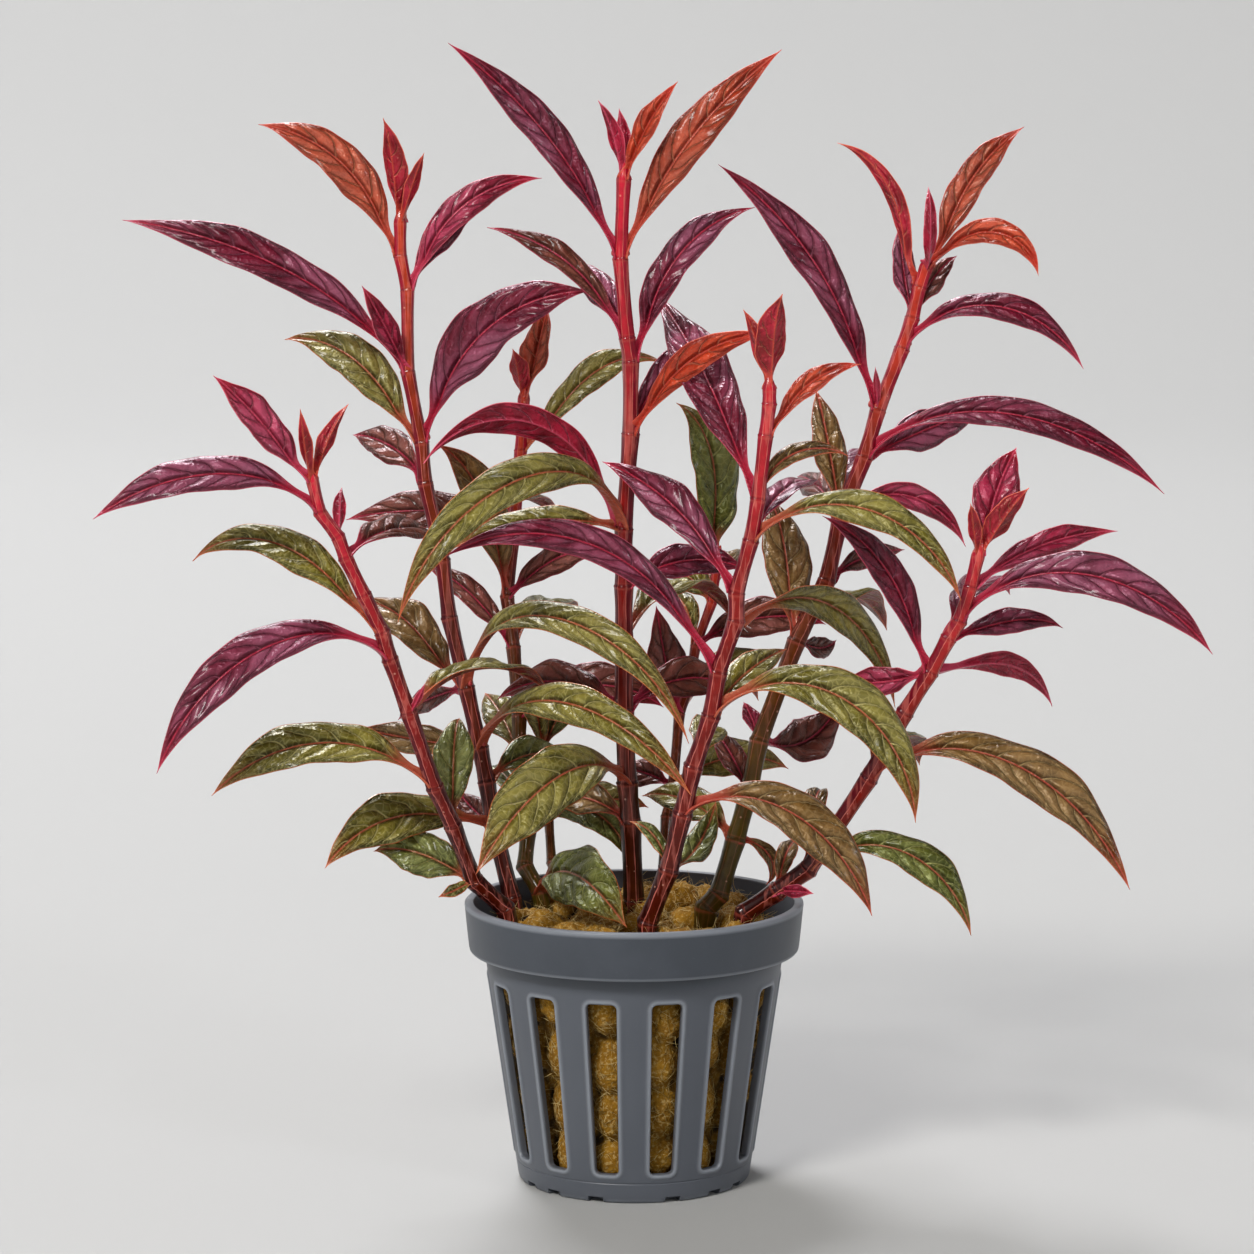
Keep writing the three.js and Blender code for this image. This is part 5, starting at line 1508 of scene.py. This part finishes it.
studio = {
    "floor": "#b0b0ae",
    "flatRadius": 1.4,
    "curveRadius": 1.1,
    "wallTop": 2.4,
    "curveSteps": 12,
    "columns": 96,
    "worldColour": "#e8eaee",
    "worldStrength": 0.12,
    "lamps": [
        # place, width, power, tint
        ((-1.2, -2.1, 2.0), 0.9, 100, "#fffdfa"),
        ((1.9, -1.7, 1.1), 0.6, 42, "#f6f7ff"),
        ((-0.5, 1.4, 2.1), 0.9, 62, "#fbfbff"),
    ],
    "aim": (0, 0, 0.09),
}


def buildFloor():
    flat, radius, steps = studio["flatRadius"], studio["curveRadius"], studio["curveSteps"]
    profile = [(0.0, 0.0), (0.3, 0.0), (0.8, 0.0), (flat, 0.0)]
    for k in range(1, steps + 1):
        turn = k / steps * math.pi / 2
        profile.append((flat + radius * math.sin(turn), radius * (1 - math.cos(turn))))
    profile.append((flat + radius, studio["wallTop"]))
    columns = studio["columns"]
    points, faces = [(0, 0, 0)], []
    for radius, z in profile[1:]:
        for k in range(columns):
            turn = k / columns * 2 * math.pi
            points.append((radius * math.cos(turn), radius * math.sin(turn), z))
    for k in range(columns):
        faces.append((0, 1 + k, 1 + (k + 1) % columns))
    for r in range(len(profile) - 2):
        for k in range(columns):
            a = 1 + r * columns + k
            b = 1 + r * columns + (k + 1) % columns
            faces.append((a, a + columns, b + columns, b))
    mesh = bpy.data.meshes.new("paleFloor")
    mesh.from_pydata(points, [], faces)
    mesh.polygons.foreach_set("use_smooth", [True] * len(faces))
    material, _, shader = newMaterial("palePaper", 0.75, 0.0)
    shader.inputs["Base Color"].default_value = linear(studio["floor"])
    mesh.materials.append(material)
    floor = placed("paleFloor", mesh)


def addLamps():
    for number, (place, width, power, tint) in enumerate(studio["lamps"]):
        lampData = bpy.data.lights.new(f"softLamp{number + 1}", "AREA")
        lampData.shape = "DISK"
        lampData.size = width
        lampData.energy = power
        lampData.color = linear(tint)[:3]
        lamp = placed(lampData.name, lampData)
        lamp.location = place
        away = Vector(place) - Vector(studio["aim"])
        lamp.rotation_euler = away.to_track_quat("Z", "Y").to_euler()
    world = bpy.data.worlds.new("paleRoom")
    bpy.context.scene.world = world
    world.use_nodes = True
    background = world.node_tree.nodes["Background"]
    background.inputs["Color"].default_value = linear(studio["worldColour"])
    background.inputs["Strength"].default_value = studio["worldStrength"]
    bpy.context.scene.view_settings.view_transform = "Standard"


# The whole object

def pieceName(nodeName):
    words = nodeName.split("_")
    return words[0] + "".join(word.capitalize() for word in words[1:])


def buildPlant():
    bladeMaterials = {tone: leafMaterial(tone) for tone in leafTones}
    stemSkin = stemMaterial()
    for number, (name, stem) in enumerate(stemTable.items()):
        chance = random.Random(plantSeed + 10 + number)
        tones = sorted({row[-1] for row in stem["sprigs"]})
        chunks = [stemChunk(stem, stemForm["ochre"].get(name, 0), stemForm["warmth"].get(name, 0), chance)]
        budded = [row for row in stem["leaves"] if row[0] > stemForm["budsAbove"]]
        chunks += [budChunk(stem, row, chance) for row in budded]
        for row in stem["sprigs"]:
            startOut = stemRadius(stem, row[0]) * growth["sprigStart"]
            slot = 1 + tones.index(row[-1])
            folded = leafForm["crownSprigFold"] if atCrown(stem, row) else 0
            chunks.append(leafChunk(stem, row, startOut, slot, chance, folded))
        piece = joinChunks(pieceName(f"{name}_stem"), chunks, [stemSkin] + [bladeMaterials[t] for t in tones])
        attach(piece, "root")
        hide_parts(f"{name}_stem")
        for place, row in enumerate(stem["leaves"]):
            node = f"{name}_leaf_{place + 1}"
            swollen = stemRadius(stem, row[0]) * growth["jointSwell"]
            startOut = swollen + growth["petioleHalf"] + growth["touchGap"]
            folded = leafForm["crownLeafFold"] if atCrown(stem, row) else 0
            chunk = leafChunk(stem, row, startOut, 0, chance, folded)
            leaf = joinChunks(pieceName(node), [chunk], [bladeMaterials[row[-1]]])
            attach(leaf, "root")
            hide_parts(node)
        print("stem built:", name)


buildPlant()

pot = buildPot(potMaterial())
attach(pot, "root")
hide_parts("net_pot")
print("pot built:", len(pot.data.polygons), "faces")

wool = buildWool(woolMaterial())
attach(wool, "root")
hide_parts("rock_wool")
print("rock wool built:", len(wool.data.polygons), "faces")

fibres = buildFibres(wool, fibreMaterial())
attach(fibres, "root")
print("fibres built:", len(fibres.data.polygons), "faces")

buildFloor()
addLamps()
print("floor and lamps placed")
